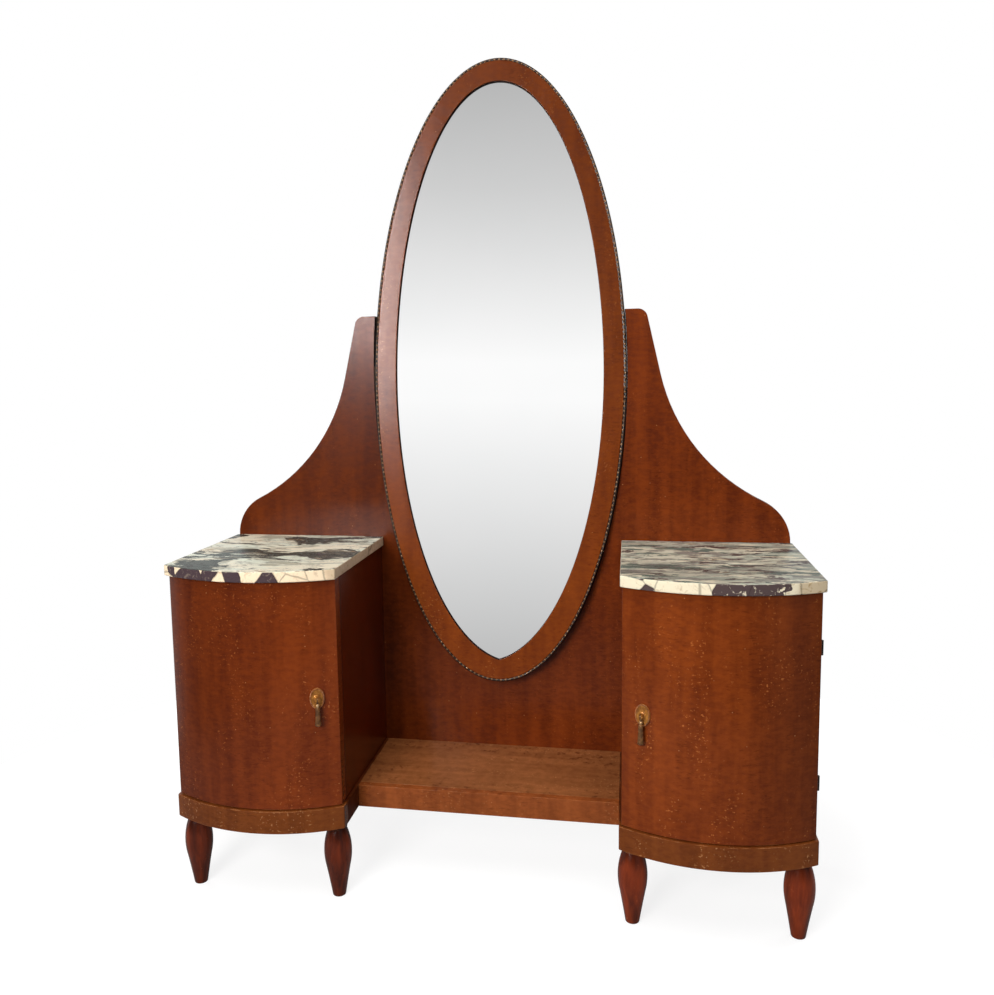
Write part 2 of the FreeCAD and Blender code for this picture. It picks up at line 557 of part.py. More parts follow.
rebate_half_width = "(Dims.sight_half_width + Dims.rebate)"
rebate_half_height = "(Dims.sight_half_height + Dims.rebate)"
rebate_front = f"({frame_front} + Dims.frame_lip)"
frame_blank = oval("frame_blank", frame_half_width, frame_half_height, frame_front, "Dims.frame_thickness")

# The sight is an oval above the pivots; below them its two sides are ovals set apart, which meet in a point
sight_size = ("Dims.sight_half_height", frame_front, "Dims.frame_thickness")
arc_half_width = "(Dims.sight_half_width + Dims.sight_point)"
arc_half_height = f"(Dims.sight_half_height / sqrt(1 - (Dims.sight_point / {arc_half_width}) ^ 2))"
arc_size = (arc_half_width, arc_half_height, frame_front, "Dims.frame_thickness")
across = ("-Dims.sight_half_width", "Dims.sight_half_width")
through = (frame_front, "Dims.frame_thickness / 2")
sight_above = common("sight_above", oval("sight_oval", "Dims.sight_half_width", *sight_size),
                     box("above_pivots", across, through, ("0", "Dims.sight_half_height")))
sight_below = common("sight_below", oval("left_arc", *arc_size, "Dims.sight_point"),
                     oval("right_arc", *arc_size, "-Dims.sight_point"),
                     box("below_pivots", across, through, ("-Dims.sight_half_height", "0")))
sight = fuse("sight", sight_above, sight_below)

rebate_cut = oval("rebate_cut", rebate_half_width, rebate_half_height, rebate_front,
                  "Dims.frame_thickness - Dims.frame_lip")
frame_ring = cut("frame_ring", frame_blank, fuse("opening", sight, rebate_cut))
frame = cut("frame", frame_ring, *bush_seats)
glass = oval("glass", rebate_half_width, rebate_half_height, rebate_front, "Dims.glass_thickness")
backing = oval("backing", rebate_half_width, rebate_half_height, f"{rebate_front} + Dims.glass_thickness",
               "Dims.mirror_back_thickness")
clips = []
for number in range(6):
    angle = 30 + 60 * number
    strip = box(f"clip_strip_{number}", ("-Dims.clip_length / 2", "Dims.clip_length / 2"),
                ("0", "Dims.clip_thickness"), ("-Dims.clip_width / 2", "Dims.clip_width / 2"))
    # Each clip lies across the rebate's edge, along the oval's normal there
    normal = f"(atan2({rebate_half_width} * sin({angle}), {rebate_half_height} * cos({angle})) / 1 deg)"
    clips.append(place(group(f"clip_{number}", strip), f"{rebate_half_width} * cos({angle})",
                       "Dims.frame_thickness / 2", f"{rebate_half_height} * sin({angle})",
                       f"-{normal}", Y_AXIS))
mirror_pieces = {"mirror_frame": frame, "mirror_bead": bead, "mirror_glass": glass,
                 "mirror_back": backing, "pivot_bushes": group("bushes", *bushes),
                 "mirror_clips": group("clips", *clips)}
for label, piece in mirror_pieces.items():
    publish(place(piece, "0", pivot_y, pivot_z, "-Dims.mirror_tilt", X_AXIS), label)

# Pivot plates let into the horns' inner edges, each with a pin into the mirror frame's bush

pivot_plate_y = (f"{pivot_y} - Dims.pivot_plate_width / 2", f"{pivot_y} + Dims.pivot_plate_width / 2")
pivot_plate_z = (f"{pivot_z} - Dims.pivot_plate_height / 2", f"{pivot_z} + Dims.pivot_plate_height / 2")
pivot_plate = box("pivot_plate", (notch_half_width, f"{notch_half_width} + Dims.pivot_plate"),
                  pivot_plate_y, pivot_plate_z)
pivot_pin = rod("pivot_pin", "Dims.pivot_radius",
                f"{notch_half_width} + Dims.pivot_plate - {frame_half_width} + Dims.pivot_grip", X_AXIS,
                f"{frame_half_width} - Dims.pivot_grip", pivot_y, pivot_z)
pivot = fuse("pivot", pivot_plate, pivot_pin)
pivot_seats = both(box("pivot_seat", (f"{notch_half_width} - 5 * Dims.pivot_plate",
                                      f"{notch_half_width} + Dims.pivot_plate"),
                       pivot_plate_y, pivot_plate_z))
publish_pair(pivot, "pivot_pin")


# Backboard: half of its outline is drawn and mirrored, then the oval for the mirror is cut out

def wing_points():
    # Tangent points of the ogee: shoulder arc, sweeping hollow and the horn's sloping edge
    slope = math.radians(value("Dims.horn_slope"))
    up_horn = Vector(-math.cos(slope), math.sin(slope), 0)
    off_horn = Vector(math.sin(slope), math.cos(slope), 0)
    top = value(f"{z_stone} + Dims.horn_height")
    rounding = value("Dims.horn_round")
    tip = Vector(value(horn_flat) + rounding * math.tan(slope / 2), top, 0)
    shoulder, sweep = value("Dims.wing_shoulder"), value("Dims.wing_sweep")
    shoulder_centre = Vector(value(wing_reach) - shoulder, value(z_stone), 0)
    start = tip + off_horn * sweep - shoulder_centre
    along = start.dot(up_horn)
    down = along - math.sqrt(along ** 2 - start.Length ** 2 + (shoulder + sweep) ** 2)
    sweep_centre = shoulder_centre + start - up_horn * down
    out = (sweep_centre - shoulder_centre).normalize()
    round_centre = Vector(value(horn_flat), top - rounding, 0)
    return {"shoulder_centre": shoulder_centre, "sweep_centre": sweep_centre, "round_centre": round_centre,
            "shoulder_end": shoulder_centre + out * shoulder, "sweep_end": tip - up_horn * down,
            "horn_end": round_centre + off_horn * rounding,
            "flat_end": Vector(value(horn_flat), top, 0)}


def arc_about(centre, first, last):
    angles = [math.atan2(point.y - centre.y, point.x - centre.x) for point in (first, last)]
    return Part.ArcOfCircle(Part.Circle(centre, Z_AXIS, (first - centre).Length), angles[0], angles[1])


def half_backboard():
    body, sketch = body_with_sketch("half_backboard", "XZ_Plane")
    wing = wing_points()
    low, strip = value(z_plinth), value(f"{z_lid} - Dims.panel_strip")
    lap, reach = value(f"{x_inner} + Dims.panel_lap"), value(wing_reach)
    corners = [Vector(0, low, 0), Vector(lap, low, 0), Vector(lap, strip, 0), Vector(reach, strip, 0),
               Vector(reach, value(z_stone), 0)]
    for first, last in zip(corners, corners[1:]):
        sketch.addGeometry(Part.LineSegment(first, last))
    sketch.addGeometry(arc_about(wing["shoulder_centre"], corners[-1], wing["shoulder_end"]))
    sketch.addGeometry(arc_about(wing["sweep_centre"], wing["sweep_end"], wing["shoulder_end"]))
    sketch.addGeometry(Part.LineSegment(wing["sweep_end"], wing["horn_end"]))
    sketch.addGeometry(arc_about(wing["round_centre"], wing["horn_end"], wing["flat_end"]))
    top_middle = Vector(0, wing["flat_end"].y, 0)
    sketch.addGeometry(Part.LineSegment(wing["flat_end"], top_middle))
    sketch.addGeometry(Part.LineSegment(top_middle, corners[0]))
    rules = [("Coincident", first, 2, first + 1, 1) for first in (0, 1, 2)]
    rules += [("Tangent", 3, 2, 4, 1), ("Tangent", 4, 2, 5, 2), ("Tangent", 5, 1, 6, 1),
              ("Tangent", 6, 2, 7, 1), ("Tangent", 7, 2, 8, 1)]
    rules += [("Coincident", 8, 2, 9, 1), ("Coincident", 9, 2, 0, 1)]
    rules += [("Horizontal", line) for line in (0, 2, 8)] + [("Vertical", line) for line in (1, 3)]
    rules += [("PointOnObject", 0, 1, -2), ("PointOnObject", 8, 2, -2)]
    sketch.addConstraint([Sketcher.Constraint(*rule) for rule in rules])
    measures = [("DistanceY", (-1, 1, 0, 1), z_plinth),
                ("DistanceX", (-1, 1, 0, 2), f"{x_inner} + Dims.panel_lap"),
                ("DistanceY", (-1, 1, 1, 2), f"{z_lid} - Dims.panel_strip"),
                ("DistanceX", (-1, 1, 2, 2), wing_reach), ("DistanceY", (-1, 1, 3, 2), z_stone),
                ("Radius", (4,), "Dims.wing_shoulder"), ("Radius", (5,), "Dims.wing_sweep"),
                ("Radius", (7,), "Dims.horn_round"), ("DistanceX", (-1, 1, 8, 1), horn_flat),
                ("DistanceY", (-1, 1, 8, 1), f"{z_stone} + Dims.horn_height")]
    for kind, places, expression in measures:
        number = sketch.addConstraint(Sketcher.Constraint(kind, *places, value(expression)))
        sketch.setExpression(f"Constraints[{number}]", expression)
    slope = math.radians(value("Dims.horn_slope"))
    lean = sketch.addConstraint(Sketcher.Constraint("Angle", 6, math.pi - slope))
    sketch.setExpression(f"Constraints[{lean}]", "(180 - Dims.horn_slope) * 1 deg")
    pad(body, sketch, "Dims.panel_thickness", backwards=True)
    return place(body, y=wall)


half_board = half_backboard()
whole_board = fuse("whole_board", *both(half_board))
whole_board.Refine = True
notch = oval("notch", notch_half_width, notch_half_height, "0", "Dims.panel_thickness")
place(notch, y=wall, z=pivot_z)
screw_group = group("screws", *[piece for fixing in screws for piece in both(fixing)])
publish(cut("backboard", whole_board, notch, *pivot_seats, screw_group), "backboard")
publish(screw_group, "backboard_screws")
sheet_reach = f"({notch_half_width} + Dims.recess_back_lap)"
sheet_drop = f"({notch_half_height} + Dims.recess_back_lap)"
sheet_oval = oval("sheet_oval", sheet_reach, sheet_drop, "0", "Dims.recess_back_thickness")
sheet_room = box("sheet_room", (f"-{sheet_reach}", sheet_reach), ("0", "Dims.recess_back_thickness"),
                 (f"-{sheet_drop}", "-Dims.recess_back_drop"))
recess_back = document.addObject("Part::MultiCommon", "recess_back")
recess_back.Shapes = [sheet_oval, sheet_room]
publish(place(recess_back, y=f"{wall} + Dims.panel_thickness", z=pivot_z), "recess_back")

# Check every object, then write one file for each node

document.recompute()
faults = [thing.Name for thing in document.Objects if "Invalid" in thing.State or "Error" in thing.State]
faults += [piece.Label for piece in nodes if piece.Shape.isNull() or not piece.Shape.isValid()]
if faults:
    raise RuntimeError("not built: " + ", ".join(faults))
os.makedirs("parts", exist_ok=True)
for piece in nodes:
    piece.Shape.exportStep(f"parts/{piece.Label}.step")
print(len(nodes), "nodes written")
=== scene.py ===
import bmesh
import bpy
import json
import math
from mathutils import Matrix, Vector
from mathutils.geometry import interpolate_bezier


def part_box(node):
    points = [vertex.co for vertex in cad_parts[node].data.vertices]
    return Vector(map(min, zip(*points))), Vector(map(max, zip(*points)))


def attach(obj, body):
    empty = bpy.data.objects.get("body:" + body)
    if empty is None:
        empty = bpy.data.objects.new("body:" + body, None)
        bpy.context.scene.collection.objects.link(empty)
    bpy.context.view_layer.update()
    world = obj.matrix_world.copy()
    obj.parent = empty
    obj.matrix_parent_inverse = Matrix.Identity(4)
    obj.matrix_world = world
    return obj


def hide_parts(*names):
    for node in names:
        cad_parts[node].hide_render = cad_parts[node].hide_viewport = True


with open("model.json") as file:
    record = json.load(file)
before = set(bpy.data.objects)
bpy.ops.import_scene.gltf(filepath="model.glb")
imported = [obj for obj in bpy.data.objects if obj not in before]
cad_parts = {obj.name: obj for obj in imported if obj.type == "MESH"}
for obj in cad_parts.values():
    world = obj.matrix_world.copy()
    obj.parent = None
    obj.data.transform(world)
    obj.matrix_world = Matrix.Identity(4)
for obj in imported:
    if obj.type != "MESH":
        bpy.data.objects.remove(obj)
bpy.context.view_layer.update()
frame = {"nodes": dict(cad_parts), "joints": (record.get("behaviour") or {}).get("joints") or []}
scene = bpy.context.scene
nodes = frame["nodes"]
joints = {joint["name"]: joint for joint in frame["joints"]}
sides = {"left": -1, "right": 1}
print("frame loaded:", len(nodes), "nodes")

# The cabinets' bow, worked out from the frame and the rise of a front. A board is swept past its ends
# by the overrun, and then cut to length.
bow = {"rise": 0.048, "overrun": 1.25}
bow["halfWidth"] = (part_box("right_outer_side")[1].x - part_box("right_inner_side")[0].x) / 2
bow["middle"] = (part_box("right_outer_side")[1].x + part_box("right_inner_side")[0].x) / 2
bow["radius"] = (bow["halfWidth"] ** 2 + bow["rise"] ** 2) / (2 * bow["rise"])
bow["centreY"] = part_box("right_door")[0].y + bow["radius"]


# Node helpers

def tint(red, green, blue):    # a colour as it looks on screen, 0 to 255
    shares = [value / 255 for value in (red, green, blue)]
    linear = [s / 12.92 if s <= 0.04045 else ((s + 0.055) / 1.055) ** 2.4 for s in shares]
    return (*linear, 1.0)


def feed(tree, socket, value):    # a link where value is a socket, a plain setting otherwise
    if isinstance(value, bpy.types.NodeSocket):
        tree.links.new(value, socket)
    else:
        socket.default_value = value


def addNode(tree, kind, feeds, **settings):
    made = tree.nodes.new("ShaderNode" + kind)
    for name, value in settings.items():
        setattr(made, name, value)
    for name, value in feeds.items():
        feed(tree, made.inputs[name], value)
    return made


def maths(tree, operation, first, second=0.0):
    return addNode(tree, "Math", {0: first, 1: second}, operation=operation).outputs[0]


def times(tree, first, second):
    return maths(tree, "MULTIPLY", first, second)


def plus(tree, first, second):
    return maths(tree, "ADD", first, second)


def vectors(tree, operation, first, second):
    return addNode(tree, "VectorMath", {0: first, 1: second}, operation=operation).outputs[0]


def scaled(tree, vector, scale):
    return vectors(tree, "MULTIPLY", vector, scale)


def parted(tree, vector):
    return addNode(tree, "SeparateXYZ", {0: vector}).outputs


def noise(tree, vector, scale, detail=2.0, roughness=0.5, distortion=0.0):
    feeds = {"Vector": vector, "Scale": scale, "Detail": detail, "Roughness": roughness,
             "Distortion": distortion}
    return addNode(tree, "TexNoise", feeds).outputs


def remap(tree, value, low, high, toLow=0.0, toHigh=1.0):
    feeds = {"Value": value, "From Min": low, "From Max": high, "To Min": toLow, "To Max": toHigh}
    return addNode(tree, "MapRange", feeds, interpolation_type="SMOOTHSTEP").outputs[0]


def mixColour(tree, factor, first, second, blend="MIX"):
    feeds = {0: factor, 6: first, 7: second}
    return addNode(tree, "Mix", feeds, data_type="RGBA", blend_type=blend).outputs[2]


def warped(tree, vector, scale, reach):    # the place pushed about by a soft noise
    push = noise(tree, vector, scale, detail=3.0)["Color"]
    centred = vectors(tree, "SUBTRACT", push, (0.5, 0.5, 0.5))
    return vectors(tree, "ADD", vector, scaled(tree, centred, (reach, reach, reach)))


def startGroup(name, inputs, outputs):
    tree = bpy.data.node_groups.new(name, "ShaderNodeTree")
    for label, kind in inputs.items():
        tree.interface.new_socket(name=label, in_out="INPUT", socket_type="NodeSocket" + kind)
    for label, kind in outputs.items():
        tree.interface.new_socket(name=label, in_out="OUTPUT", socket_type="NodeSocket" + kind)
    given = tree.nodes.new("NodeGroupInput").outputs
    result = tree.nodes.new("NodeGroupOutput").inputs
    return tree, given, result


def useGroup(tree, group, feeds):
    return addNode(tree, "Group", feeds, node_tree=group).outputs


# Shared effects: ranges are where a noise starts to show and where it shows in full
veneerNoise = {"wander": (14.0, 0.008), "bandRange": (0.34, 0.66), "bandShare": 0.42,
               "mottleRange": (0.33, 0.67), "mottleShare": 0.36, "driftScale": 5.0,
               "driftRange": (0.36, 0.64), "driftShare": 0.22, "patchScale": (0.5, 0.5, 2.0),
               "patchRange": (0.44, 0.60), "tickScale": (75, 75, 330), "tickRange": (0.55, 0.70),
               "clusterScale": (0.8, 0.8, 2.4), "clusterRange": (0.47, 0.64),
               "fleckScale": (210, 210, 250), "fleckRange": (0.62, 0.76)}


def makeVeneerFigure():    # long soft bands, fine mottle, short dark ticks and clusters of pale flecks
    look = veneerNoise
    inputs = {"Vector": "Vector", "Bands": "Vector", "Mottle": "Vector", "Tick": "Float",
              "Fleck": "Float", "Dark": "Color", "Mid": "Color", "Light": "Color"}
    tree, given, result = startGroup("veneerFigure", inputs, {"Color": "Color", "Height": "Float"})

    def shown(vector, scale, name, **settings):
        return remap(tree, noise(tree, vector, scale, **settings)[0], *look[name + "Range"])

    loose = warped(tree, given["Vector"], *look["wander"])
    bands = scaled(tree, loose, given["Bands"])
    grain = scaled(tree, loose, given["Mottle"])
    band = shown(bands, 1.0, "band", detail=3.0, roughness=0.55)
    mottle = shown(grain, 1.0, "mottle", detail=4.0, roughness=0.62)
    drift = shown(given["Vector"], look["driftScale"], "drift")
    small = plus(tree, times(tree, mottle, look["mottleShare"]), times(tree, drift, look["driftShare"]))
    tone = plus(tree, times(tree, band, look["bandShare"]), small)
    ground = mixColour(tree, tone, given["Dark"], given["Mid"])
    patch = shown(scaled(tree, bands, look["patchScale"]), 1.0, "patch")
    tick = shown(scaled(tree, loose, look["tickScale"]), 1.0, "tick", roughness=0.55)
    marked = times(tree, times(tree, tick, given["Tick"]), patch)
    ticked = mixColour(tree, marked, ground, given["Dark"], "MULTIPLY")
    cluster = shown(scaled(tree, bands, look["clusterScale"]), 1.0, "cluster")
    fleck = shown(scaled(tree, loose, look["fleckScale"]), 1.0, "fleck", detail=1.0)
    flecked = times(tree, times(tree, fleck, cluster), given["Fleck"])
    feed(tree, result["Color"], mixColour(tree, flecked, ticked, given["Light"]))
    feed(tree, result["Height"], mottle)
    return tree


wornAndLitEdge = {"turnRange": (0.995, 0.90), "samples": 4, "rubScale": 38.0, "rubRange": (0.42, 0.66)}


# rubbed wear and painted edge highlights: arrises are lightened, broken up by a noise
def makeEdgeWearAndHighlight():    # rubbed arrises, broken up by a noise
    inputs = {"Vector": "Vector", "Reach": "Float"}
    tree, given, result = startGroup("edgeWear", inputs, {"Mask": "Float"})
    rounded = addNode(tree, "Bevel", {"Radius": given["Reach"]}, samples=wornAndLitEdge["samples"]).outputs[0]
    facing = addNode(tree, "NewGeometry", {}).outputs["Normal"]
    alike = addNode(tree, "VectorMath", {0: rounded, 1: facing}, operation="DOT_PRODUCT")
    edge = remap(tree, alike.outputs["Value"], *wornAndLitEdge["turnRange"])
    cloud = noise(tree, given["Vector"], wornAndLitEdge["rubScale"], detail=4.0)[0]
    feed(tree, result["Mask"], times(tree, edge, remap(tree, cloud, *wornAndLitEdge["rubRange"])))
    return tree


speckDot = {"range": (0.20, 0.06)}


def makeSpecks():    # scattered small scuffs and dust
    inputs = {"Vector": "Vector", "Scale": "Float", "Cover": "Float"}
    tree, given, result = startGroup("specks", inputs, {"Mask": "Float"})
    cells = addNode(tree, "TexVoronoi", {"Vector": given["Vector"], "Scale": given["Scale"]})
    dot = remap(tree, cells.outputs["Distance"], *speckDot["range"])
    chosen = addNode(tree, "SeparateColor", {"Color": cells.outputs["Color"]}).outputs[0]
    feed(tree, result["Mask"], times(tree, dot, maths(tree, "LESS_THAN", chosen, given["Cover"])))
    return tree


# The stone's upper face, layer on layer: a share or a shift that is a word is an input of the group
marbleColours = ("Cream", "Pale", "Grey", "Green", "Violet", "Dark", "Tan")
marbleShares = ("Bands", "Patches", "Streaks", "Lines", "Gloom", "Dusk", "Scribble")
stoneLayers = (
    {"colour": "Cream", "share": 0.5, "place": (0, 0, 0), "stretch": (1, 1, 1), "detail": 3.0,
     "curl": 0.0, "range": (0.42, 0.58)},
    {"colour": "Grey", "share": 0.8, "place": (7, 3, 1), "stretch": (1.5, 1.7, 1.5), "detail": 6.0,
     "curl": 0.6, "range": (0.49, 0.57)},
    {"colour": "Green", "share": 0.96, "place": (3, 9, 4), "stretch": (0.8, 0.9, 0.8), "detail": 5.0,
     "curl": 0.8, "range": (0.55, 0.57), "shift": "Bands"},
    {"colour": "Violet", "share": 0.9, "place": (11, 2, 8), "stretch": (1.3, 1.5, 1.3), "detail": 5.0,
     "curl": 0.8, "range": (0.58, 0.61), "shift": "Patches"},
    {"colour": "Tan", "share": 0.7, "place": (2, 7, 3), "stretch": (1.3, 1.8, 1.3), "detail": 4.0,
     "curl": 0.4, "range": (0.63, 0.68)},
    {"colour": "Cream", "share": "Streaks", "place": (1, 6, 2), "stretch": (1.2, 2.2, 1.2), "detail": 4.0,
     "curl": 0.5, "range": (0.57, 0.60)},
    {"colour": "Dark", "share": "Gloom", "place": (9, 9, 9), "stretch": (0.35, 0.35, 0.35), "detail": 2.0,
     "curl": 0.0, "range": (0.48, 0.64)},
)
stoneLines = {"place": (5, 5, 5), "stretch": (1.9, 2.3, 1.9), "detail": 5.0, "curl": 0.6,
              "range": (0.016, 0.004)}
stoneGround = {"wanders": ((9.0, 0.05), (40.0, 0.010)), "grit": 0.62}
stoneEdge = {"wander": (30.0, 0.010), "cloudScale": 90.0, "cloudDetail": 5.0, "cloudGrit": 0.65,
             "cloudCurl": 1.0, "stainRange": (0.52, 0.72), "stainShare": 0.55, "endShare": 0.5,
             "scribbleRange": (0.575, 0.62), "crackRange": (0.028, 0.004), "crackShare": 0.45}


def makeBreccia():    # pale stone with wisps and dark bands on top, broken blocks along its cut edge
    inputs = {"Vector": "Vector", "Spread": "Vector", "Cut": "Vector", "Side": "Float"}
    inputs.update({share: "Float" for share in marbleShares + ("Middle", "End")})
    inputs.update({colour: "Color" for colour in marbleColours})
    tree, given, result = startGroup("breccia", inputs, {"Color": "Color", "Height": "Float"})
    loose = given["Vector"]
    for scale, reach in stoneGround["wanders"]:
        loose = warped(tree, loose, scale, reach)
    spread = scaled(tree, loose, given["Spread"])

    def field(layer):
        moved = vectors(tree, "ADD", scaled(tree, spread, layer["stretch"]), layer["place"])
        return noise(tree, moved, 1.0, layer["detail"], stoneGround["grit"], layer["curl"])[0]

    top = given["Pale"]
    for layer in stoneLayers:
        height = field(layer)
        if "shift" in layer:
            height = plus(tree, height, given[layer["shift"]])
        share = given[layer["share"]] if isinstance(layer["share"], str) else layer["share"]
        mask = times(tree, remap(tree, height, *layer["range"]), share)
        top = mixColour(tree, mask, top, given[layer["colour"]])
    ridge = maths(tree, "ABSOLUTE", maths(tree, "SUBTRACT", field(stoneLines), 0.5))
    line = times(tree, remap(tree, ridge, *stoneLines["range"]), given["Lines"])
    top = mixColour(tree, line, top, given["Dark"])

    look = stoneEdge
    place = scaled(tree, warped(tree, given["Vector"], *look["wander"]), given["Cut"])
    cells = addNode(tree, "TexVoronoi", {"Vector": place, "Scale": 1.0})
    rims = addNode(tree, "TexVoronoi", {"Vector": place, "Scale": 1.0}, feature="DISTANCE_TO_EDGE")
    pick = addNode(tree, "SeparateColor", {"Color": cells.outputs["Color"]}).outputs[0]
    cloud = noise(tree, given["Vector"], look["cloudScale"], look["cloudDetail"], look["cloudGrit"],
                  look["cloudCurl"])[0]
    stained = times(tree, remap(tree, cloud, *look["stainRange"]), look["stainShare"])
    tanned = plus(tree, stained, times(tree, given["End"], look["endShare"]))
    block = mixColour(tree, tanned, given["Cream"], given["Tan"])
    shade = maths(tree, "MAXIMUM", maths(tree, "LESS_THAN", pick, given["Dusk"]), given["Middle"])
    scribble = times(tree, remap(tree, cloud, *look["scribbleRange"]), given["Scribble"])
    dusky = mixColour(tree, scribble, given["Violet"], given["Cream"])
    edge = mixColour(tree, shade, block, dusky)
    crack = times(tree, remap(tree, rims.outputs["Distance"], *look["crackRange"]), look["crackShare"])
    edge = mixColour(tree, crack, edge, given["Dark"])

    feed(tree, result["Color"], mixColour(tree, given["Side"], top, edge))
    feed(tree, result["Height"], times(tree, maths(tree, "MAXIMUM", line, crack), -1.0))
    return tree


metalNoise = {"agedRange": (0.36, 0.64), "glossRange": (0.3, 0.7), "gloss": (0.52, 0.28),
              "bump": (0.12, 0.0003)}


def makeAgedMetal():    # bright where handled, dark in the hollows
    inputs = {"Vector": "Vector", "Bright": "Color", "Dark": "Color", "Scale": "Float"}
    outputs = {"Color": "Color", "Roughness": "Float", "Height": "Float"}
    tree, given, result = startGroup("agedMetal", inputs, outputs)
    cloud = noise(tree, given["Vector"], given["Scale"], detail=5.0, roughness=0.65)[0]
    aged = remap(tree, cloud, *metalNoise["agedRange"])
    feed(tree, result["Color"], mixColour(tree, aged, given["Dark"], given["Bright"]))
    rough = remap(tree, cloud, *metalNoise["glossRange"], *metalNoise["gloss"])
    feed(tree, result["Roughness"], rough)
    feed(tree, result["Height"], cloud)
    return tree


veneerFigure = makeVeneerFigure()
edgeWear = makeEdgeWearAndHighlight()
specks = makeSpecks()
breccia = makeBreccia()
agedMetal = makeAgedMetal()
print("shared effects ready")


# Finishes

def startMaterial(name):
    material = bpy.data.materials.new(name)
    material.use_nodes = True
    tree = material.node_tree
    shader = tree.nodes["Principled BSDF"]
    place = addNode(tree, "TexCoord", {}).outputs["Object"]
    return material, tree, shader.inputs, place


def dressShader(tree, shader, colour, rough, height, bump):
    strength, distance = bump
    feeds = {"Height": height, "Strength": strength, "Distance": distance}
    feed(tree, shader["Base Color"], colour)
    feed(tree, shader["Roughness"], rough)
    feed(tree, shader["Normal"], addNode(tree, "Bump", feeds).outputs[0])


def picked(look, labels):    # a group's inputs from the look's own words
    return {label: look[label.lower()] for label in labels}


def tinted(look, labels):
    return {label: tint(*look[label.lower()]) for label in labels}


# Bands and mottle are counts to the metre. A painted shade is an axis, a place and its tone, then another
# place and its tone: light and shade painted into the colour. Notch shade paints shade on the backboard's
# cut-out beside the mirror, wall shade paints shade on the frame's edges.
woodLooks = {
    # Doors: painted shade towards the bow's outer ends; the right door's paler veneer is partly painted
    # light
    "leftDoorVeneer": {"dark": (86, 32, 11), "mid": (120, 52, 18), "light": (180, 102, 50),
                       "shades": (("X", -0.64, 0.78, -0.30, 1.06),), "fleck": 0.55},
    "rightDoorVeneer": {"dark": (96, 38, 12), "mid": (134, 61, 20), "light": (196, 114, 54),
                        "shades": (("X", 0.46, 1.04, 0.645, 0.75),), "fleck": 0.55},
    # Backboard: painted shadow of the left cabinet darkens its left; notch shade paints shade round the
    # cut-out
    "panelVeneer": {"dark": (82, 31, 10), "mid": (118, 51, 16), "light": (158, 82, 38),
                    "shades": (("X", -0.34, 0.72, 0.02, 1.10),), "fleck": 0.35,
                    "notch": ((0.2886, 0.7053), 1.083, (14, 7, 5))},
    # Frame: painted light, lighter low and darker high; wall shade paints shade on its edges
    "frameVeneer": {"dark": (88, 36, 10), "mid": (118, 55, 16), "light": (176, 108, 56), "fleck": 0.4,
                    "shades": (("Z", 0.45, 1.22, 1.65, 0.78),), "walls": (34, 17, 11)},
    "outerVeneer": {"dark": (88, 33, 11), "mid": (124, 55, 19), "light": (180, 102, 50), "fleck": 0.5},
    "sideVeneer": {"dark": (66, 20, 6), "mid": (100, 34, 9), "light": (140, 72, 34), "fleck": 0.1},
    # Shelf and apron: paler veneers, partly painted light, for the light they catch from the front and
    # above
    "shelfVeneer": {"bands": (3, 34, 34), "dark": (116, 66, 34), "mid": (152, 92, 52),
                    "light": (192, 134, 84), "tick": 0.6},
    "apronVeneer": {"dark": (114, 56, 24), "mid": (152, 80, 38), "light": (192, 134, 84), "fleck": 0.5},
    # Plinths: painted light makes the right one lighter than the left
    "plinthVeneer": {"dark": (92, 44, 16), "mid": (122, 64, 25), "light": (194, 138, 88), "rubbing": 0.9,
                     "shades": (("X", -0.5, 0.95, 0.5, 1.09),), "fleck": 0.6},
    "returnVeneer": {"dark": (66, 26, 9), "mid": (94, 42, 15), "light": (150, 88, 46), "fleck": 0.2,
                     "gloss": 0.5, "shine": 0.05},
    # Feet: lighter towards the right, painted shadow of the plinth darkens the necks, darker towards the
    # tips
    "turnedWood": {"bands": (60, 60, 5), "mottle": (80, 80, 10), "dark": (58, 19, 8),
                   "mid": (130, 50, 18), "light": (176, 92, 50), "tick": 0.0, "fleck": 0.1, "shine": 0.3,
                   "shades": (("X", -0.5, 0.78, 0.5, 1.3), ("Z", 0.112, 1.0, 0.152, 0.45),
                              ("Z", 0.01, 0.8, 0.075, 1.08))},
    "carcassWood": {"bands": (3, 50, 50), "mottle": (9, 60, 60), "dark": (128, 80, 44),
                    "mid": (160, 108, 64), "light": (186, 138, 92), "tick": 0.0, "fleck": 0.0,
                    "gloss": 0.55},
}
# What a look leaves unsaid
woodFinish = {"bands": (30, 30, 2.6), "mottle": (60, 60, 110), "tick": 0.3, "fleck": 0.5, "gloss": 0.23,
              "glossPlay": (0.03, -0.02), "bump": (0.05, 0.0004), "shine": 0.18, "shades": (),
              "rubbing": 0.5, "rubbed": (186, 128, 82), "wearReach": 0.0022, "speckScale": 150.0,
              "speckCover": 0.015, "speckShare": 0.5, "speck": (214, 150, 96),
              "notchRange": (1.018, 1.006), "wallRange": (0.55, 0.80), "wallGloss": 0.85}


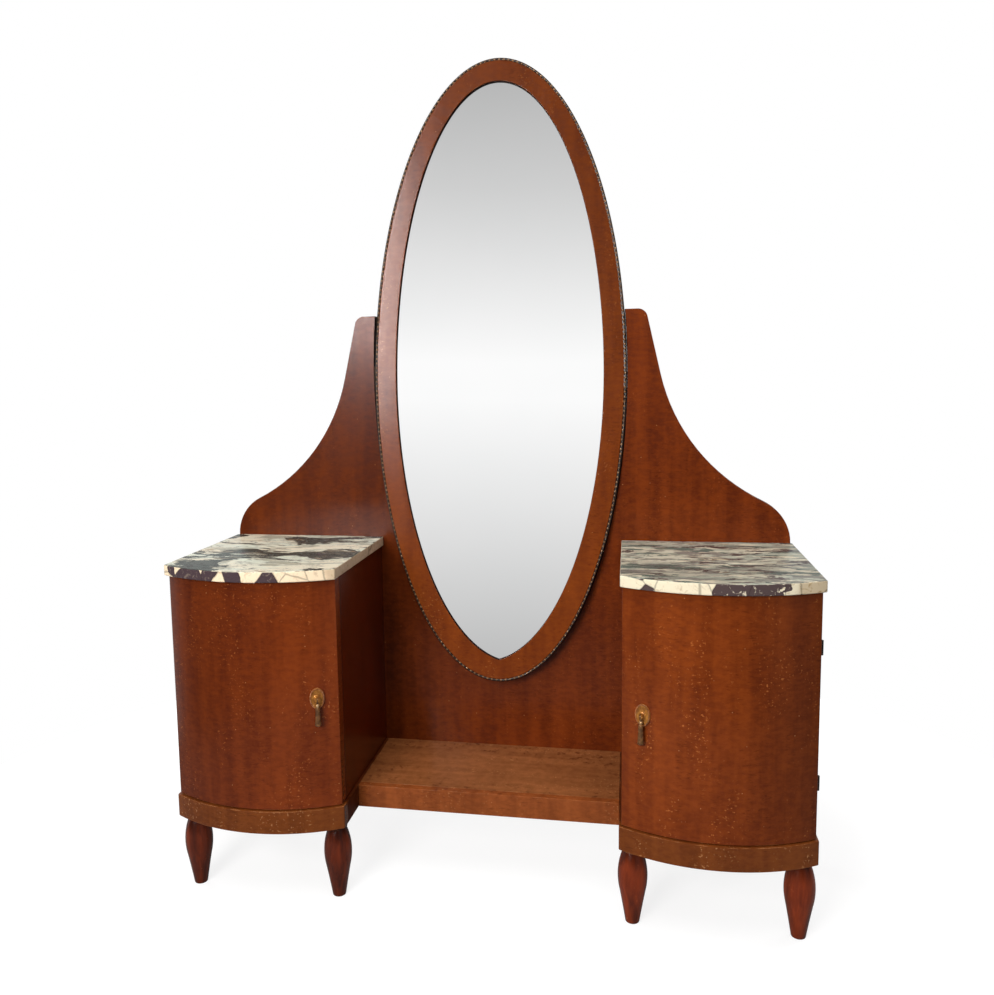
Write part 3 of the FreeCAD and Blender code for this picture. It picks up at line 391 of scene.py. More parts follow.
def woodMaterial(name):
    look = {**woodFinish, **woodLooks[name]}
    material, tree, shader, place = startMaterial(name)
    figure = useGroup(tree, veneerFigure, {"Vector": place, **tinted(look, ("Dark", "Mid", "Light")),
                                           **picked(look, ("Bands", "Mottle", "Tick", "Fleck"))})
    colour = figure["Color"]
    at = parted(tree, place)
    # painted shade ramps: light and shade painted into the colour along an axis
    for axis, start, startShade, end, endShade in look["shades"]:
        tone = remap(tree, at[axis], start, end, startShade, endShade)
        colour = mixColour(tree, 1.0, colour, tone, "MULTIPLY")
    # edge mark: rubbed wear and painted highlight in one pale colour on the arrises
    edgeMark = useGroup(tree, edgeWear, {"Vector": place, "Reach": look["wearReach"]})["Mask"]
    colour = mixColour(tree, times(tree, edgeMark, look["rubbing"]), colour, tint(*look["rubbed"]))
    scuff = useGroup(tree, specks, {"Vector": place, "Scale": look["speckScale"],
                                    "Cover": look["speckCover"]})["Mask"]
    colour = mixColour(tree, times(tree, scuff, look["speckShare"]), colour, tint(*look["speck"]))
    # painted shade: the backboard is darkened just outside the mirror's oval, in its cut-out
    if "notch" in look:
        (halfX, halfZ), height, shadow = look["notch"]
        across = maths(tree, "DIVIDE", at["X"], halfX)
        up = maths(tree, "DIVIDE", maths(tree, "SUBTRACT", at["Z"], height), halfZ)
        outward = plus(tree, times(tree, across, across), times(tree, up, up))
        colour = mixColour(tree, remap(tree, outward, *look["notchRange"]), colour, tint(*shadow))
    rougher, smoother = (look["gloss"] + play for play in look["glossPlay"])
    rough = remap(tree, figure["Height"], 0.0, 1.0, rougher, smoother)
    # painted shade: the frame's edge walls, round the glass and behind the beads, take a dark colour
    if "walls" in look:    # edges that face across, round the glass and behind the beads
        normal = addNode(tree, "NewGeometry", {}).outputs["True Normal"]
        forward = maths(tree, "ABSOLUTE", parted(tree, normal)["Y"])
        plain = remap(tree, forward, *look["wallRange"])
        colour = mixColour(tree, plain, tint(*look["walls"]), colour)
        dull = remap(tree, forward, *look["wallRange"], look["wallGloss"], 0.0)
        rough = maths(tree, "MAXIMUM", rough, dull)
    dressShader(tree, shader, colour, rough, figure["Height"], look["bump"])
    shader["Specular IOR Level"].default_value = look["shine"]
    return material


# On the cut edge, by X: the dusky zone's middle and reach, where the tan end starts and where it is full
marbleLooks = {
    "leftMarble": {"spread": (6, 14, 14), "cut": (19, 4, 12), "bands": 0.02, "patches": -0.07,
                   "streaks": 0.2, "lines": 0.85, "gloom": 0.0, "dusk": 0.27, "scribble": 0.12,
                   "dusky": (-0.47, 0.0), "end": (-0.305, -0.285),
                   "cream": (244, 222, 190), "pale": (222, 225, 206), "grey": (158, 156, 138),
                   "green": (40, 52, 47), "violet": (74, 60, 64), "dark": (48, 42, 40),
                   "tan": (178, 148, 114)},
    "rightMarble": {"spread": (8, 22, 22), "cut": (17, 4, 12), "bands": 0.0, "patches": 0.02,
                    "streaks": 0.95, "lines": 0.6, "gloom": 0.32, "dusk": 0.45, "scribble": 0.8,
                    "dusky": (0.515, 0.05), "end": (0.575, 0.60),
                    "cream": (238, 226, 198), "pale": (182, 186, 168), "grey": (122, 116, 110),
                    "green": (100, 116, 106), "violet": (84, 70, 70), "dark": (54, 44, 42),
                    "tan": (170, 140, 98)},
}
marbleFinish = {"sideRange": (0.85, 0.45), "wander": (34.0, 0.06), "gloss": (0.34, 0.22),
                "bump": (0.15, 0.0008), "shine": 0.08}


def marbleMaterial(name):
    look = {**marbleFinish, **marbleLooks[name]}
    material, tree, shader, place = startMaterial(name)
    normal = addNode(tree, "NewGeometry", {}).outputs["Normal"]
    upward = parted(tree, normal)["Z"]
    along = parted(tree, warped(tree, place, *look["wander"]))["X"]
    middle, reach = look["dusky"]
    away = maths(tree, "ABSOLUTE", maths(tree, "SUBTRACT", along, middle))
    stone = useGroup(tree, breccia, {
        "Vector": place, **picked(look, ("Spread", "Cut") + marbleShares), **tinted(look, marbleColours),
        "Side": remap(tree, upward, *look["sideRange"]), "End": remap(tree, along, *look["end"]),
        "Middle": maths(tree, "LESS_THAN", away, reach)})
    rough = remap(tree, stone["Height"], -1.0, 0.0, *look["gloss"])
    dressShader(tree, shader, stone["Color"], rough, stone["Height"], look["bump"])
    shader["Specular IOR Level"].default_value = look["shine"]
    return material


metalLooks = {
    "agedBrass": {"bright": (196, 132, 58), "dark": (140, 86, 36), "scale": 110.0, "metal": 0.5},
    "copperRim": {"bright": (178, 112, 62), "dark": (116, 66, 34), "scale": 120.0, "metal": 0.15},
    "dropBrass": {"bright": (148, 104, 62), "dark": (86, 56, 32), "scale": 90.0, "metal": 0.4},
    # the drop's ball: pale brass painted as the ball's highlight
    "ballBrass": {"bright": (236, 204, 160), "dark": (186, 146, 100), "scale": 60.0, "metal": 0.5},
    # beads: brass, made paler partly as their painted highlights
    "beadBrass": {"bright": (158, 122, 88), "dark": (108, 78, 54), "scale": 30.0, "metal": 0.3},
    "darkBrass": {"bright": (50, 30, 18), "dark": (28, 16, 10), "scale": 160.0, "metal": 0.1},
    "dullSteel": {"bright": (150, 146, 140), "dark": (84, 80, 76), "scale": 200.0, "metal": 0.9},
}


def metalMaterial(name):
    look = metalLooks[name]
    material, tree, shader, place = startMaterial(name)
    metal = useGroup(tree, agedMetal, {"Vector": place, "Scale": look["scale"],
                                       **tinted(look, ("Bright", "Dark"))})
    dressShader(tree, shader, metal["Color"], metal["Roughness"], metal["Height"], metalNoise["bump"])
    shader["Metallic"].default_value = look["metal"]
    return material


silvering = {"cloudScale": 3.0, "cloudRange": (0.3, 0.7),
             "tones": ((0.95, 0.955, 0.955, 1), (0.97, 0.97, 0.97, 1))}


def mirrorMaterial():    # silvered glass with a trace of clouding
    material, tree, shader, place = startMaterial("silvering")
    cloud = noise(tree, place, silvering["cloudScale"], detail=3.0)[0]
    clouded = remap(tree, cloud, *silvering["cloudRange"])
    feed(tree, shader["Base Color"], mixColour(tree, clouded, *silvering["tones"]))
    shader["Metallic"].default_value = 1.0
    shader["Roughness"].default_value = 0.0
    return material


finishes = {name: woodMaterial(name) for name in woodLooks}
finishes.update({name: marbleMaterial(name) for name in marbleLooks})
finishes.update({name: metalMaterial(name) for name in metalLooks})
finishes["silvering"] = mirrorMaterial()
print("finishes ready:", len(finishes))

# The solids that no piece stands for, by the end of their names
solidFinishes = {
    "carcassWood": ("cabinet_back", "cabinet_bottom", "sub_top", "inner_shelf", "plinth_back_rail",
                    "corner_blocks", "mirror_back", "recess_back"),
    "agedBrass": ("pull_post", "strike_plate", "pivot_pin", "pivot_bushes", "door_catches"),
    "darkBrass": ("door_hinges", "hinge_pins"),
    "dullSteel": ("backboard_screws", "shelf_pegs", "mirror_clips"),
    "silvering": ("mirror_glass",),
}
for finish, endings in solidFinishes.items():
    for nodeName, solid in nodes.items():
        if nodeName.endswith(endings):
            solid.data.materials.clear()
            solid.data.materials.append(finishes[finish])
print("solids finished")


# Mesh helpers: nearer than these, in metres, points are one or lie on a cut
near = {"weld": 1e-6, "cut": 1e-7}


def camelCase(nodeName):
    first, *others = nodeName.split("_")
    return first + "".join(word.capitalize() for word in others)


def keepFlats(mesh, sharpAngle):    # normals weighted by area: a broad face stays flat to its eased edge
    limit = math.cos(math.radians(sharpAngle))
    normals = [face.normal.copy() for face in mesh.polygons]
    areas = [face.area for face in mesh.polygons]
    around = [[] for _ in mesh.vertices]
    for face in mesh.polygons:
        for index in face.vertices:
            around[index].append(face.index)
    corners = []
    for face in mesh.polygons:
        own = normals[face.index]
        for index in face.vertices:
            alike = [other for other in around[index] if normals[other].dot(own) > limit]
            total = sum((normals[other] * areas[other] for other in alike), Vector())
            corners.append(total.normalized())
    mesh.normals_split_custom_set(corners)


def meshObject(name, bm, *materials):
    mesh = bpy.data.meshes.new(name)
    bm.to_mesh(mesh)
    bm.free()
    for material in materials:
        mesh.materials.append(material)
    made = bpy.data.objects.new(name, mesh)
    scene.collection.objects.link(made)
    return made


def pour(source, target):    # adds one mesh in the making to another
    holder = bpy.data.meshes.new("holder")
    source.to_mesh(holder)
    source.free()
    target.from_mesh(holder)
    bpy.data.meshes.remove(holder)


# Faces numbered 1 take the second finish, and flats keeps a board's broad faces flat
def finishPiece(name, bm, finish, body, replaced, sharpAngle=38, secondFinish=None, flats=False):
    bmesh.ops.remove_doubles(bm, verts=bm.verts, dist=near["weld"])
    bmesh.ops.recalc_face_normals(bm, faces=bm.faces)
    used = [finishes[label] for label in (finish, secondFinish) if label]
    piece = meshObject(name, bm, *used)
    piece.data.shade_smooth()
    piece.data.set_sharp_from_angle(angle=math.radians(sharpAngle))
    if flats:
        keepFlats(piece.data, sharpAngle)
    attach(piece, body)
    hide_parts(*replaced)


def easeEdges(bm, width, segments=2, shortest=0.0, sharpest=40):
    sharp = [edge for edge in bm.edges if edge.is_manifold and edge.calc_length() > shortest
             and edge.calc_face_angle() > math.radians(sharpest)]
    bmesh.ops.bevel(bm, geom=sharp, offset=width, offset_type="OFFSET", segments=segments, profile=0.5,
                    affect="EDGES", material=-1, clamp_overlap=False)


def bowedBoard(middle, radius, thickness, low, high, steps):    # a section swept round the bow's axis
    bm = bmesh.new()
    centre = Vector((middle, bow["centreY"], 0))
    reach = math.asin((high.x - low.x) / 2 / radius) * bow["overrun"]
    section = [bm.verts.new(centre + Vector((0, -r, z))) for r, z in (
        (radius, low.z), (radius, high.z), (radius - thickness, high.z), (radius - thickness, low.z))]
    outline = [bm.edges.new((section[i - 1], section[i])) for i in range(4)]
    bmesh.ops.rotate(bm, cent=centre, matrix=Matrix.Rotation(-reach, 3, "Z"), verts=section)
    bmesh.ops.spin(bm, geom=section + outline, cent=centre, axis=(0, 0, 1), angle=2 * reach, steps=steps)
    for plane, outward in ((low.x, -1), (high.x, 1)):
        everything = bm.verts[:] + bm.edges[:] + bm.faces[:]
        bmesh.ops.bisect_plane(bm, geom=everything, dist=near["cut"], plane_co=(plane, 0, 0),
                               plane_no=(outward, 0, 0), clear_outer=True)
    bmesh.ops.holes_fill(bm, edges=[edge for edge in bm.edges if edge.is_boundary], sides=0)
    bmesh.ops.recalc_face_normals(bm, faces=bm.faces)
    return bm


def span(start, end, rise, steps):    # points of a shallow arc from start to end, standing rise proud
    a, b = Vector(start), Vector(end)
    out = Vector((b.y - a.y, a.x - b.x)).normalized() * (rise * 4 / 3)
    first, second = a + (b - a) / 3 + out, b - (b - a) / 3 + out
    points = interpolate_bezier(a.to_3d(), first.to_3d(), second.to_3d(), b.to_3d(), steps + 1)
    return [(point.x, point.y) for point in points]


def lathe(bm, profile, centre, steps):    # profile holds radius and height pairs
    x, y, z = centre
    verts = [bm.verts.new((x + radius, y, z + height)) for radius, height in profile]
    edges = [bm.edges.new(pair) for pair in zip(verts, verts[1:])]
    bmesh.ops.spin(bm, geom=verts + edges, cent=centre, axis=(0, 0, 1), angle=2 * math.pi, steps=steps,
                   use_merge=True)
    bmesh.ops.remove_doubles(bm, verts=bm.verts, dist=near["weld"])


def ovalLoop(bm, halfX, halfZ, y, segments):
    ring = bmesh.ops.create_circle(bm, segments=segments, radius=1.0)["verts"]
    stand = Matrix.Translation((0, y, 0)) @ Matrix.Rotation(math.radians(90), 4, "X")
    bmesh.ops.transform(bm, matrix=stand @ Matrix.Diagonal((halfX, halfZ, 1, 1)), verts=ring)
    return list({edge for vert in ring for edge in vert.link_edges})


def ovalSkin(bm, rings, segments, closed):    # a skin over ovals of half width, half height and depth
    first = edges = ovalLoop(bm, *rings[0], segments)
    path = list(rings) + (list(rings[:1]) if closed else [])
    for (fromX, fromZ, fromY), (toX, toZ, toY) in zip(path, path[1:]):
        made = bmesh.ops.extrude_edge_only(bm, edges=edges)["geom"]
        verts = [item for item in made if isinstance(item, bmesh.types.BMVert)]
        edges = [item for item in made if isinstance(item, bmesh.types.BMEdge) and item.is_boundary]
        bmesh.ops.scale(bm, vec=(toX / fromX, 1, toZ / fromZ), verts=verts)
        bmesh.ops.translate(bm, vec=(0, toY - fromY, 0), verts=verts)
    if closed:
        bmesh.ops.remove_doubles(bm, verts=bm.verts, dist=near["cut"])
    return first, edges


def ovalStations(halfX, halfZ, count, fine):    # evenly spaced points and headings round an oval
    angles = [2 * math.pi * step / fine for step in range(fine + 1)]
    points = [Vector((halfX * math.cos(angle), 0, halfZ * math.sin(angle))) for angle in angles]
    lengths = [0.0]
    for first, second in zip(points, points[1:]):
        lengths.append(lengths[-1] + (second - first).length)
    stations, at = [], 0
    for number in range(count):
        while lengths[at] < lengths[-1] * number / count:
            at += 1
        heading = points[(at + 1) % fine] - points[at - 1 if at else fine - 1]
        stations.append((points[at], math.atan2(heading.z, heading.x)))
    return stations


ballFaces = {"around": 8, "rings": 6}


def stampRow(bm, halfX, halfZ, y, row):    # balls of the second finish round an oval, stretched and laid
    ball = bmesh.new()
    bmesh.ops.create_uvsphere(ball, u_segments=ballFaces["around"], v_segments=ballFaces["rings"],
                              radius=1.0)
    for face in ball.faces:
        face.material_index = 1
    pattern = bpy.data.meshes.new("ballPattern")
    ball.to_mesh(pattern)
    ball.free()
    long, thin = row["ball"]
    size = Matrix.Diagonal((long, thin, thin, 1)) @ Matrix.Rotation(math.radians(90), 4, "Y")
    balls = bmesh.new()
    for point, heading in ovalStations(halfX, halfZ, row["count"], row["fine"]):
        lay = Matrix.Rotation(-heading + math.radians(row["lay"]), 4, "Y")
        place = Matrix.Translation(point + Vector((0, y, 0))) @ lay @ size
        start = len(balls.verts)
        balls.from_mesh(pattern)
        for vert in balls.verts[start:]:
            vert.co = place @ vert.co
    bpy.data.meshes.remove(pattern)
    pour(balls, bm)


# Cabinet doors and plinth fronts

doorBoard = {"thickness": 0.020, "ease": 0.0012, "steps": 72}
plinthBoard = {"thickness": 0.020, "ease": 0.0016, "steps": 72,
               "ledge": {"lap": 0.001, "depth": 0.014, "height": 0.007, "drop": 0.0008}}


def addLedge(bm, side, sign, radius, top):    # a fillet that closes the gap to the bottom board
    ledge = plinthBoard["ledge"]
    low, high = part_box(side + "_cabinet_bottom")
    high.z = top - ledge["drop"]
    low.z = high.z - ledge["height"]
    strip = bowedBoard(sign * bow["middle"], radius + ledge["lap"], ledge["depth"], low, high,
                       plinthBoard["steps"])
    pour(strip, bm)


def makeBowedFronts():
    for side, sign in sides.items():
        for kind, ending, look, finish, body in (
                ("door", "DoorBoard", doorBoard, side + "DoorVeneer", "door_" + side),
                ("plinth_front", "PlinthFront", plinthBoard, "plinthVeneer", "case")):
            nodeName = side + "_" + kind
            low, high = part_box(nodeName)
            radius = bow["centreY"] - low.y
            bm = bowedBoard(sign * bow["middle"], radius, look["thickness"], low, high, look["steps"])
            easeEdges(bm, look["ease"])
            if "ledge" in look:
                addLedge(bm, side, sign, radius - look["thickness"], high.z)
            finishPiece(side + ending, bm, finish, body, [nodeName], flats=True)
    print("doors and plinth fronts made")


# Marble slabs

slab = {"ease": 0.0022, "easeSteps": 3, "steps": 72}


def makeSlabs():
    for side, sign in sides.items():
        nodeName = side + "_marble_top"
        low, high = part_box(nodeName)
        radius = bow["centreY"] - low.y
        centre = Vector((sign * bow["middle"], bow["centreY"], low.z))
        ends = [math.asin((x - centre.x) / radius) for x in (low.x, high.x)]
        bm = bmesh.new()
        start = Vector((radius * math.sin(ends[0]), -radius * math.cos(ends[0]), 0))
        first = bm.verts.new(centre + start)
        bmesh.ops.spin(bm, geom=[first], cent=centre, axis=(0, 0, 1), angle=ends[1] - ends[0],
                       steps=slab["steps"])
        front = sorted(bm.verts, key=lambda vert: vert.co.x)
        corners = [bm.verts.new((x, high.y, low.z)) for x in (high.x, low.x)]
        face = bm.faces.new(front + corners)
        raised = bmesh.ops.extrude_face_region(bm, geom=[face])["geom"]
        lifted = [item for item in raised if isinstance(item, bmesh.types.BMVert)]
        bmesh.ops.translate(bm, verts=lifted, vec=(0, 0, high.z - low.z))
        bmesh.ops.recalc_face_normals(bm, faces=bm.faces)
        easeEdges(bm, slab["ease"], slab["easeSteps"])
        finishPiece(side + "MarbleSlab", bm, side + "Marble", "case", [nodeName], flats=True)
    print("marble slabs made")


# Turned feet: a narrow tip, a long swelling, a neck and a collar (radius and height pairs)
foot = {"tip": 0.014, "tipRound": 0.0025, "shoulder": (0.0252, 0.066), "hollow": 0.0002, "swell": 0.0066,
        "neck": (0.019, 0.150), "collar": 0.021, "collarTop": 0.163, "collarEase": 0.0012, "steps": 48,
        "quarterRise": 0.29, "tipSteps": 4, "shankSteps": 10, "swellSteps": 22}


def makeFeet():
    tip, ease = foot["tip"], foot["tipRound"]
    profile = [(0, 0)]
    profile += span((tip - ease, 0), (tip, ease), ease * foot["quarterRise"], foot["tipSteps"])
    profile += span((tip, ease), foot["shoulder"], -foot["hollow"], foot["shankSteps"])[1:]
    profile += span(foot["shoulder"], foot["neck"], foot["swell"], foot["swellSteps"])[1:]
    collar, rim = foot["collar"], foot["collarEase"]
    neckAt, top = foot["neck"][1], foot["collarTop"]
    profile += [(collar - rim, neckAt), (collar, neckAt + rim), (collar, top), (0, top)]
    for nodeName in [name for name in nodes if name.endswith("_foot")]:
        low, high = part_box(nodeName)
        bm = bmesh.new()
        lathe(bm, profile, ((low.x + high.x) / 2, (low.y + high.y) / 2, low.z), foot["steps"])
        finishPiece(camelCase(nodeName), bm, "turnedWood", "case", [nodeName])
    print("feet turned")


# Swing mirror: oval frame and the beaded edge
swing = {"lean": -3.7, "frameHalf": (0.2823, 0.699), "sightHalf": (0.2375, 0.654), "sightPoint": 0.034,
         "depth": 0.020, "lip": 0.007, "rebate": 0.008, "ease": 0.0014, "easeSteps": 3, "segments": 320,
         "onSight": 1e-4}
beading = {"proud": 0.0022, "depth": -0.0073, "segments": 256, "sharp": 80,
           "row": {"count": 306, "ball": (0.0031, 0.0025), "lay": 0, "fine": 6000},
           "core": {"proud": 0.0031, "wide": 0.0028, "deep": 0.0018, "sides": 6, "swell": 0.0002,
                    "swellReach": 0.16}}


def mirrorPlace():
    pivot = Vector(joints["mirror_tilt"]["pos_m"])
    return Matrix.Translation(pivot) @ Matrix.Rotation(math.radians(swing["lean"]), 4, "X")


def sightReach(z):    # half width of the sight at a height over the pivots: an oval above, pointed below
    inX, inZ = swing["sightHalf"]
    apart = 0.0 if z > 0 else swing["sightPoint"]
    wide = inX + apart
    tall = inZ / math.sqrt(1 - (apart / wide) ** 2)
    return wide * math.sqrt(max(0.0, 1 - (z / tall) ** 2)) - apart


def makeMirrorFrame():
    outX, outZ = swing["frameHalf"]
    inX, inZ = swing["sightHalf"]
    front, back = -swing["depth"] / 2, swing["depth"] / 2
    seat = front + swing["lip"]
    step = swing["rebate"]
    rings = ((outX, outZ, back), (outX, outZ, front), (inX, inZ, front), (inX, inZ, seat),
             (inX + step, inZ + step, seat), (inX + step, inZ + step, back))
    bm = bmesh.new()
    ovalSkin(bm, rings, swing["segments"], closed=True)
    for vert in bm.verts:
        if abs((vert.co.x / inX) ** 2 + (vert.co.z / inZ) ** 2 - 1) < swing["onSight"]:
            vert.co.x = math.copysign(sightReach(vert.co.z), vert.co.x)
    bmesh.ops.recalc_face_normals(bm, faces=bm.faces)
    easeEdges(bm, swing["ease"], swing["easeSteps"])
    bmesh.ops.transform(bm, matrix=mirrorPlace(), verts=bm.verts)
    finishPiece("mirrorOvalFrame", bm, "frameVeneer", "mirror", ["mirror_frame"], flats=True)
    print("mirror frame made")


def makeBeading():
    core, y = beading["core"], beading["depth"]
    outX, outZ = swing["frameHalf"]
    bm = bmesh.new()
    rings = []
    for number in range(core["sides"]):
        turn = math.radians(360 / core["sides"] * number)
        out = core["proud"] + core["wide"] * math.cos(turn)
        rings.append((outX + out, outZ + out, y + core["deep"] * math.sin(turn)))
    ovalSkin(bm, rings, beading["segments"], closed=True)
    # painted shade: the dark core is widened here to fill the gap in the cut-out, standing in for the
    # shade seen through it
    for vert in bm.verts:    # the core fills the backboard's cut-out beside the pivots
        share = min(1.0, max(0.0, 2 - 2 * (vert.co.z / core["swellReach"]) ** 2))
        vert.co.x += math.copysign(core["swell"] * share, vert.co.x)
    proud = beading["proud"]
    # the beads take the second finish, brass paled partly as painted highlights
    stampRow(bm, outX + proud, outZ + proud, y, beading["row"])
    bmesh.ops.transform(bm, matrix=mirrorPlace(), verts=bm.verts)
    finishPiece("mirrorBeading", bm, "darkBrass", "mirror", ["mirror_bead"],
                sharpAngle=beading["sharp"], secondFinish="beadBrass")
    print("beading made:", beading["row"]["count"], "beads")


# Drop pulls: an oval plate with a rope rim, and a tapered drop. Lengths are metres, lay is degrees;
# rimFlat and fieldReach are shares of the rim's width, neckStart of the lug and ballJoin of the ball.
plate = {"half": (0.015, 0.0215), "sink": 0.0002, "edge": 0.0016, "rim": 0.0028, "field": 0.0019,
         "rimWidth": 0.0030, "rimFlat": (0.30, 0.70), "fieldReach": 1.6, "boss": 0.0075,
         "bossRise": 0.0042, "bossShares": (1.0, 0.94, 0.78, 0.55, 0.28), "segments": 56,
         "rope": {"count": 46, "ball": (0.0021, 0.0009), "lay": 50, "fine": 1200}}
drop = {"ball": (0.0034, 0.012), "waist": (0.0021, 0.0156), "shoulder": (0.0045, 0.019),
        "foot": (0.0062, 0.0525), "length": 0.055, "lug": 0.0031, "lugHalf": 0.0016, "steps": 28,
        "pin": 0.0013, "lugSegments": 24, "hollow": 0.0008, "swell": 0.0004, "tipRise": 0.0012,
        "neckStart": (0.6, 0.8), "ballJoin": (0.9, 0.75), "arcSteps": (8, 5, 8, 6)}


def pullPlace(side):    # the pin's place on the door's face, turned to the bow
    x, y, z = joints[side + "_pull_swing"]["pos_m"]
    across, inward = x - sides[side] * bow["middle"], bow["centreY"] - y
    turn = math.atan2(across, inward)
    out = math.hypot(across, inward) - bow["radius"]
    pin = Matrix.Translation((x, y, z)) @ Matrix.Rotation(turn, 4, "Z")
    return pin @ Matrix.Translation((0, out, 0)), out


def makePullPlate(side):
    place = pullPlace(side)[0]
    halfX, halfZ = plate["half"]
    boss, rise, rim = plate["boss"], plate["bossRise"], plate["rimWidth"]
    steps = [(0.0, plate["sink"]), (0.0, -plate["edge"])]
    steps += [(rim * share, -plate["rim"]) for share in plate["rimFlat"]]
    steps += [(rim * share, -plate["field"]) for share in (1.0, plate["fieldReach"])]
    rings = [(halfX - inward, halfZ - inward, y) for inward, y in steps]
    for share in plate["bossShares"]:
        height = plate["field"] + (rise - plate["field"]) * math.sqrt(1 - share ** 2)
        rings.append((boss * share, boss * share, -height))
    bm = bmesh.new()
    for border in ovalSkin(bm, rings, plate["segments"], closed=False):
        bmesh.ops.holes_fill(bm, edges=border, sides=0)
    stampRow(bm, halfX - rim / 2, halfZ - rim / 2, -plate["rim"], plate["rope"])
    bmesh.ops.transform(bm, matrix=place, verts=bm.verts)
    finishPiece(side + "PullPlate", bm, "agedBrass", "door_" + side, [side + "_pull_plate"],
                secondFinish="copperRim")


def makePullDrop(side):
    place, out = pullPlace(side)
    ball, ballAt = drop["ball"]
    waist, waistAt = drop["waist"]
    wide, wideAt = drop["foot"]
    shoulder, shoulderAt = drop["shoulder"]
    lug, half, pin = drop["lug"], drop["lugHalf"], drop["pin"]
    inLug, atLug = (lug * share for share in drop["neckStart"])
    overBall, onBall = (ball * share for share in drop["ballJoin"])
    ballSteps, hollowSteps, swellSteps, tipSteps = drop["arcSteps"]
    profile = [(0, -inLug), (waist, -atLug), (waist, -ballAt + overBall)]
    profile += span((waist, -ballAt + onBall), (waist, -ballAt - onBall), waist - ball, ballSteps)
    profile += span((waist, -waistAt), (shoulder, -shoulderAt), -drop["hollow"], hollowSteps)
    profile += span((shoulder, -shoulderAt), (wide, -wideAt), drop["swell"], swellSteps)[1:]
    profile += span((wide, -wideAt), (0, -drop["length"]), -drop["tipRise"], tipSteps)[1:]
    bm = bmesh.new()
    lathe(bm, profile, (0, -out, 0), drop["steps"])
    # the ball's faces take the second finish, pale brass painted as its highlight
    for face in bm.faces:
        if abs(face.calc_center_median().z + ballAt) < ball:
            face.material_index = 1
    rings = [(lug, lug, -half), (lug, lug, half), (pin, pin, half), (pin, pin, -half)]
    lathed = set(bm.verts)
    ovalSkin(bm, rings, drop["lugSegments"], closed=True)
    lugVerts = [vert for vert in bm.verts if vert not in lathed]
    turned = Matrix.Translation((0, -out, 0)) @ Matrix.Rotation(math.radians(90), 4, "Z")
    bmesh.ops.transform(bm, matrix=turned, verts=lugVerts)
    bmesh.ops.transform(bm, matrix=place, verts=bm.verts)
    finishPiece(side + "PullDrop", bm, "dropBrass", "drop_" + side, [side + "_pull_drop"],
                secondFinish="ballBrass")


# Flat boards: the solids' own shapes with eased arrises
boards = {
    "backboard": {"piece": "backPanel", "finish": "panelVeneer", "ease": 0.0016},
    "well_shelf": {"piece": "wellShelf", "finish": "shelfVeneer", "ease": 0.0010},
    "well_apron": {"piece": "wellApron", "finish": "apronVeneer", "ease": 0.0014},
}
sideBoards = {"inner_side": "sideVeneer", "outer_side": "outerVeneer",
              "plinth_inner_return": "returnVeneer", "plinth_outer_return": "plinthVeneer"}
easedBoards = {"side": 0.0010, "shortest": 0.004, "flatness": 0.5}
for side in sides:
    for part, finish in sideBoards.items():
        nodeName = side + "_" + part
        boards[nodeName] = {"piece": camelCase(nodeName), "finish": finish, "ease": easedBoards["side"]}


def makeBoards():
    for nodeName, board in boards.items():
        bm = bmesh.new()
        bm.from_mesh(nodes[nodeName].data)
        bmesh.ops.remove_doubles(bm, verts=bm.verts, dist=near["weld"])
        bmesh.ops.dissolve_limit(bm, angle_limit=math.radians(easedBoards["flatness"]), verts=bm.verts,
                                 edges=bm.edges)
        easeEdges(bm, board["ease"], shortest=easedBoards["shortest"])
        finishPiece(board["piece"], bm, board["finish"], "case", [nodeName], flats=True)
    print("boards eased:", len(boards))


makeBowedFronts()
makeSlabs()
makeFeet()
makeMirrorFrame()
makeBeading()
for side in sides:
    makePullPlate(side)
    makePullDrop(side)
print("pulls made")
makeBoards()


# Studio: pale floor, bright surround, soft light from the front left and low lamps behind

def rayKinds(tree):    # clear rays are the camera's, and those in a mirror or through glass
    path = addNode(tree, "LightPath", {}).outputs
    mirrored = times(tree, path["Is Glossy Ray"], path["Is Singular Ray"])
    through = maths(tree, "MAXIMUM", mirrored, path["Is Transmission Ray"])
    return {"camera": path["Is Camera Ray"], "gloss": path["Is Glossy Ray"],
            "clear": maths(tree, "MAXIMUM", path["Is Camera Ray"], through)}


floorLook = {"radius": 1.5, "colour": (0.25, 0.25, 0.25, 1), "glow": 0.80, "rimGlow": 1.0,
             "fade": (0.75, 1.45), "glossGlow": 0.05, "roughness": 0.9, "segments": 96}


def makeFloor():
    material, tree, shader, place = startMaterial("paleFloor")
    rays = rayKinds(tree)
    away = addNode(tree, "VectorMath", {0: place}, operation="LENGTH").outputs["Value"]
    glow = remap(tree, away, *floorLook["fade"], floorLook["glow"], floorLook["rimGlow"])
    glossGlow = times(tree, rays["gloss"], floorLook["glossGlow"])
    shown = maths(tree, "MAXIMUM", times(tree, rays["clear"], glow), glossGlow)
    feed(tree, shader["Emission Strength"], shown)
    shader["Base Color"].default_value = floorLook["colour"]
    shader["Roughness"].default_value = floorLook["roughness"]
    shader["Specular IOR Level"].default_value = 0.0
    shader["Emission Color"].default_value = (1, 1, 1, 1)
    bm = bmesh.new()
    bmesh.ops.create_circle(bm, cap_ends=True, segments=floorLook["segments"],
                            radius=floorLook["radius"])
    floor = meshObject("floor", bm, material)


